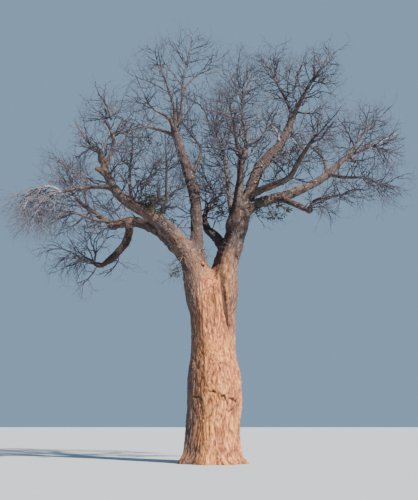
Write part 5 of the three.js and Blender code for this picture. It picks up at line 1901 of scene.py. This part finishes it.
def bark_paint():
    """Warm where it is young and grey where it is old or shade is painted on it, with streaks and lichen, painted
    shade in cracks and grooves, and darker bark with painted shade on some limbs.
    """
    paint = Paint("bark")
    grain = paint.mark("grain", MARK_VECTOR)
    crack = paint.mark("crack")
    age_and_shade = paint.mark("age_and_shade")
    dark_and_shade = paint.mark("dark_and_shade")
    streaks = paint.cloud(paint.scaled(grain, STREAKS), 1.0, detail=4.0, roughness=0.6)
    fibres = paint.cloud(paint.scaled(grain, FIBRES), 1.0, detail=4.0, roughness=0.65)
    spots = paint.cloud(grain, SPOTS, detail=4.0, roughness=0.7)
    patches = paint.cloud(paint.place(), PATCHES)
    warm = paint.mix(patches.rise(0.35, 0.65), TAN_BARK, ROSE_BARK)
    warm = paint.mix(streaks.rise(0.5, 0.66), warm, PALE_BARK)
    grey = paint.mix(streaks.rise(0.38, 0.62), BROWN_BARK, GREY_BARK)
    # grey where the bark is old, and where shade is painted on the trunk's sides
    grey_share = (age_and_shade * (0.9 + 0.26 * patches.rise(0.3, 0.6))).clamp()
    colour = paint.mix(grey_share, warm, grey)
    # darker bark and painted shade on some limbs and on the flat face
    colour = paint.mix((dark_and_shade * (0.6 + 0.4 * patches)).clamp(), colour, DARK_BARK_AND_SHADE)
    # painted shade in the cracks and furrows of the relief
    colour = paint.mix((crack * (0.4 + 0.5 * fibres.rise(0.3, 0.6))).clamp(), colour, CRACK_SHADE)
    # painted shade in fine grooves between the streaks, less where the bark is grey
    thread_shade = (0.52 - 0.34 * age_and_shade) * (1 - streaks.rise(0.36, 0.48))
    colour = paint.mix(thread_shade.clamp(), colour, CRACK_SHADE)
    specks = spots.rise(0.59, 0.67) * age_and_shade * patches.rise(0.38, 0.58)
    colour = paint.mix((specks * 0.6).clamp(), colour, LICHEN)
    height = fibres * 0.6 + streaks * 1.0 + spots * 0.25
    rough = 0.78 + 0.14 * streaks
    normal = paint.bump(height, distance=0.045, strength=0.9)
    return paint.finish(colour, rough, normal, specular=0.15)


def wood_paint(name, first, second, third):
    """Twigs and side boughs: two tones in patches, with flecks of a third."""
    paint = Paint(name)
    place = paint.place()
    tone = paint.cloud(place, 1.6)
    flecks = paint.cloud(place, 28.0, roughness=0.6)
    colour = paint.mix(tone.rise(0.38, 0.62), first, second)
    colour = paint.mix(flecks.rise(0.55, 0.75) * 0.6, colour, third)
    normal = paint.bump(flecks, distance=0.004, strength=0.6)
    return paint.finish(colour, 0.75 + 0.15 * flecks, normal)


def leaf_paint(name, colour):
    paint = Paint(name)
    veins = paint.cloud(paint.place(), 40.0, detail=2.0)
    normal = paint.bump(veins, distance=0.002, strength=0.5)
    return paint.finish((*colour, 1), 0.5 + 0.2 * veins, normal, specular=0.3)


def floor_paint():
    paint = Paint("pale_floor")
    tone = paint.cloud(paint.place(), 0.4, detail=2.0)
    colour = paint.mix(tone * 0.12, PALE_FLOOR, DULL_FLOOR)
    return paint.finish(colour, 0.95, specular=0.1)


# Making the tree

SIDES_OF_CROWN = {
    "crown_left_reach": ["left_reach_twigs"],
    "crown_left_low": ["low_reach_twigs", "hanging_twigs"],
    "crown_left_high": ["left_knuckle_twigs", "upper_left_twigs", "back_reach_twigs", "arch_twigs"],
    "crown_front": ["left_front_twigs", "inner_left_twigs", "centre_front_twigs"],
    "crown_top": ["left_low_twigs", "left_top_twigs", "top_twigs", "right_leader_twigs"],
    "crown_middle": ["inner_twigs", "back_twigs", "slim_twigs", "centre_top_twigs"],
    "crown_right_top": ["leaning_left_twigs", "leaning_right_twigs", "right_back_twigs"],
    "crown_right": ["upper_right_twigs", "right_reach_twigs", "right_rising_twigs"],
    "crown_right_low": ["right_low_twigs", "elbow_twigs"],
}
SOLID_STEPS = 2  # pieces in each span of a limb that the solids have
SIDE_STEPS = 3  # pieces in each span of a side bough
PALE_SIDES = {"crown_left_reach"}


def ends_of(grown):
    """The ends of twigs, the ways they point, and their keys."""
    last = grown.routes[:, -1, :3]
    return last, unit(last - grown.routes[:, 0, :3]), grown.keys


def grow_crown(masses, limb_pieces, twig_bark, pale_bark):
    """The twigs of every mass. Gives the ends of their tips."""
    coarse = grow_coarse(masses, limb_pieces)
    by_name = {mass.name: mass for mass in masses}
    ends = []
    for side, names in SIDES_OF_CROWN.items():
        parts = []
        for name in names:
            finer = grow_fine(coarse[name], by_name[name], limb_pieces)
            parts += coarse_meshes(coarse[name]) + fine_meshes(*finer)
            ends.append(ends_of(finer[-1]))
        bark = pale_bark if side in PALE_SIDES else twig_bark
        piece_of(side, mesh_of(side, *joined(parts)), bark, "twigs", names)
    return ends


def sprays_of_limbs(limbs, masses, limb_pieces):
    """The name, the line of its own and the twigs of every limb and side bough."""
    grown = []
    for name, limb in limbs.items():
        density, start = LATERALS.get(name, OTHER_LATERALS)
        finer = (LATERAL_SHOOT, TWIGLET, TIP)
        place = (name, limb.line, LATERAL, density, start, LATERAL_LIFT)
        grown.append((name, (), grow_sprays(*place, masses, limb_pieces, finer)))
    for name, shown in SIDE_BOUGHS.items():
        line = curves(route_of(shown)[None], SIDE_STEPS)[0]
        density = by_start(name, SIDE_SHOOTS, OTHER_SHOOTS)
        lift = by_start(name, SIDE_LIFTS, USUAL_LIFT)
        place = (name, line, SIDE_SHOOT, density, SHOOTS_START, lift)
        sprays = grow_sprays(*place, (), limb_pieces, (TWIGLET, TIP))
        grown.append((name, line[None], sprays))
    return grown


def grow_on_limbs(grown, twig_bark, pale_bark):
    """Laterals on the limbs, and the side boughs that show from the front."""
    kinds = {"limb_sprays": [], "side_sprays": [], "reach_sprays": [], "pale_boughs": []}
    ends = []
    for number, (name, line, sprays) in enumerate(grown):
        kind = "side_sprays" if len(line) else "limb_sprays"
        kind = "reach_sprays" if name.startswith("reach") else kind
        if len(line):
            keys = child_keys(np.array([SIDE_KEY], np.uint32), np.array([number]))
            wood = "pale_boughs" if name in PALE_BOUGHS else kind
            kinds[wood].append(made(Grown(line, keys), *SIDE_MAKE))
        else:
            first, *sprays = sprays
            kinds[kind].append(made(first, *LATERAL_MAKE))
        kinds[kind] += fine_meshes(*sprays)
        ends.append(ends_of(sprays[-1]))
    pale_wood = wood_paint("pale_wood", PALE_WOOD, TWIG_PALE, TWIG_BROWN)
    barks = {"reach_sprays": pale_bark, "pale_boughs": pale_wood}
    for name, parts in kinds.items():
        piece_of(name, mesh_of(name, *joined(parts)), barks.get(name, twig_bark), "twigs")
    return ends


def add_leaves(ends):
    """The last leaves, green and dry, dealt out by spray."""
    places, ways, keys = (np.concatenate(column) for column in zip(*ends))
    bearing = leafy(places, keys)
    places, ways, keys = places[bearing], ways[bearing], keys[bearing]
    dry = chance(keys, DRY_CHOICE) < DRY_SHARE
    kinds = (("green_leaves", GREEN_LEAF, ~dry), ("dry_leaves", DRY_LEAF, dry))
    for name, colour, own in kinds:
        points, faces = leaves_on(places[own], ways[own], keys[own])
        piece_of(name, mesh_of(name, points, faces), leaf_paint(name, colour), "twigs")


def make_tree():
    limbs = {name: Limb(route, FLAT_LIMBS.get(name)) for name, route in LIMBS.items()}
    knobs = {name: Limb(route_of(shown)) for name, shown in KNOBS.items()}
    add_bark({**limbs, **knobs}, bark_paint())
    twig_bark = wood_paint("twigs", TWIG_GREY, TWIG_BROWN, TWIG_PALE)
    pale_bark = wood_paint("pale_twigs", PALE_TWIG, TWIG_GREY, TWIG_PALE)
    masses = [Mass(name, limbs) for name in MASSES]
    lines = [curves(limb.route[None], SOLID_STEPS) for limb in limbs.values()]
    limb_pieces = np.concatenate([pieces_of(line) for line in lines])
    ends = grow_crown(masses, limb_pieces, twig_bark, pale_bark)
    grown = sprays_of_limbs(limbs, masses, limb_pieces)
    ends += grow_on_limbs(grown, twig_bark, pale_bark)
    add_leaves(ends)


# The stage, the lights and the camera

FLOOR_HALF = 400
SKY_COLOUR = (0.46, 0.7, 1.0)
SKY_STRENGTH = 0.52
SUN_TURN = math.radians(42)  # from the front to the right
SUN_RISE = math.radians(38)
SUN_STRENGTH = 12.5
SUN_WIDTH = math.radians(1.5)
SUN_COLOUR = (1.0, 0.91, 0.79)
SUN_DISTANCE = 60
CAMERA_REACH = 2000


def set_stage():
    corners = FLOOR_HALF * np.array([(-1, -1, 0), (1, -1, 0), (1, 1, 0), (-1, 1, 0)])
    mesh = mesh_of("floor", corners, np.array([(0, 1, 2), (0, 2, 3)]))
    mesh.materials.append(floor_paint())
    floor = bpy.data.objects.new("floor", mesh)
    bpy.context.scene.collection.objects.link(floor)
    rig.stage(floor)
    world = bpy.data.worlds.new("soft_sky")
    world.use_nodes = True
    background = world.node_tree.nodes["Background"]
    background.inputs["Color"].default_value = (*SKY_COLOUR, 1)
    background.inputs["Strength"].default_value = SKY_STRENGTH
    bpy.context.scene.world = world


def add_sun():
    sun = bpy.data.lights.new("sun", "SUN")
    sun.energy = SUN_STRENGTH
    sun.angle = SUN_WIDTH
    sun.color = SUN_COLOUR
    lamp = bpy.data.objects.new("sun", sun)
    towards = Vector((
        math.sin(SUN_TURN) * math.cos(SUN_RISE),
        -math.cos(SUN_TURN) * math.cos(SUN_RISE),
        math.sin(SUN_RISE),
    ))
    lamp.rotation_euler = towards.to_track_quat("Z", "Y").to_euler()
    lamp.location = SUN_DISTANCE * towards
    bpy.context.scene.collection.objects.link(lamp)


def add_camera():
    camera = bpy.data.cameras.new("camera")
    camera.lens = CAMERA_LENS
    camera.sensor_width = CAMERA_SENSOR
    camera.clip_end = CAMERA_REACH
    viewer = bpy.data.objects.new("camera", camera)
    viewer.location = CAMERA_PLACE
    viewer.rotation_euler = (math.pi / 2 + CAMERA_RISE, 0, 0)
    bpy.context.scene.collection.objects.link(viewer)
    bpy.context.scene.camera = viewer


add_camera()
add_sun()
set_stage()
make_tree()

with open("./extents.json", "w") as sizes:
    boxes = {"cad": cad_box, "visual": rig.bounds()}
    json.dump({name: [list(corner) for corner in box] for name, box in boxes.items()}, sizes)
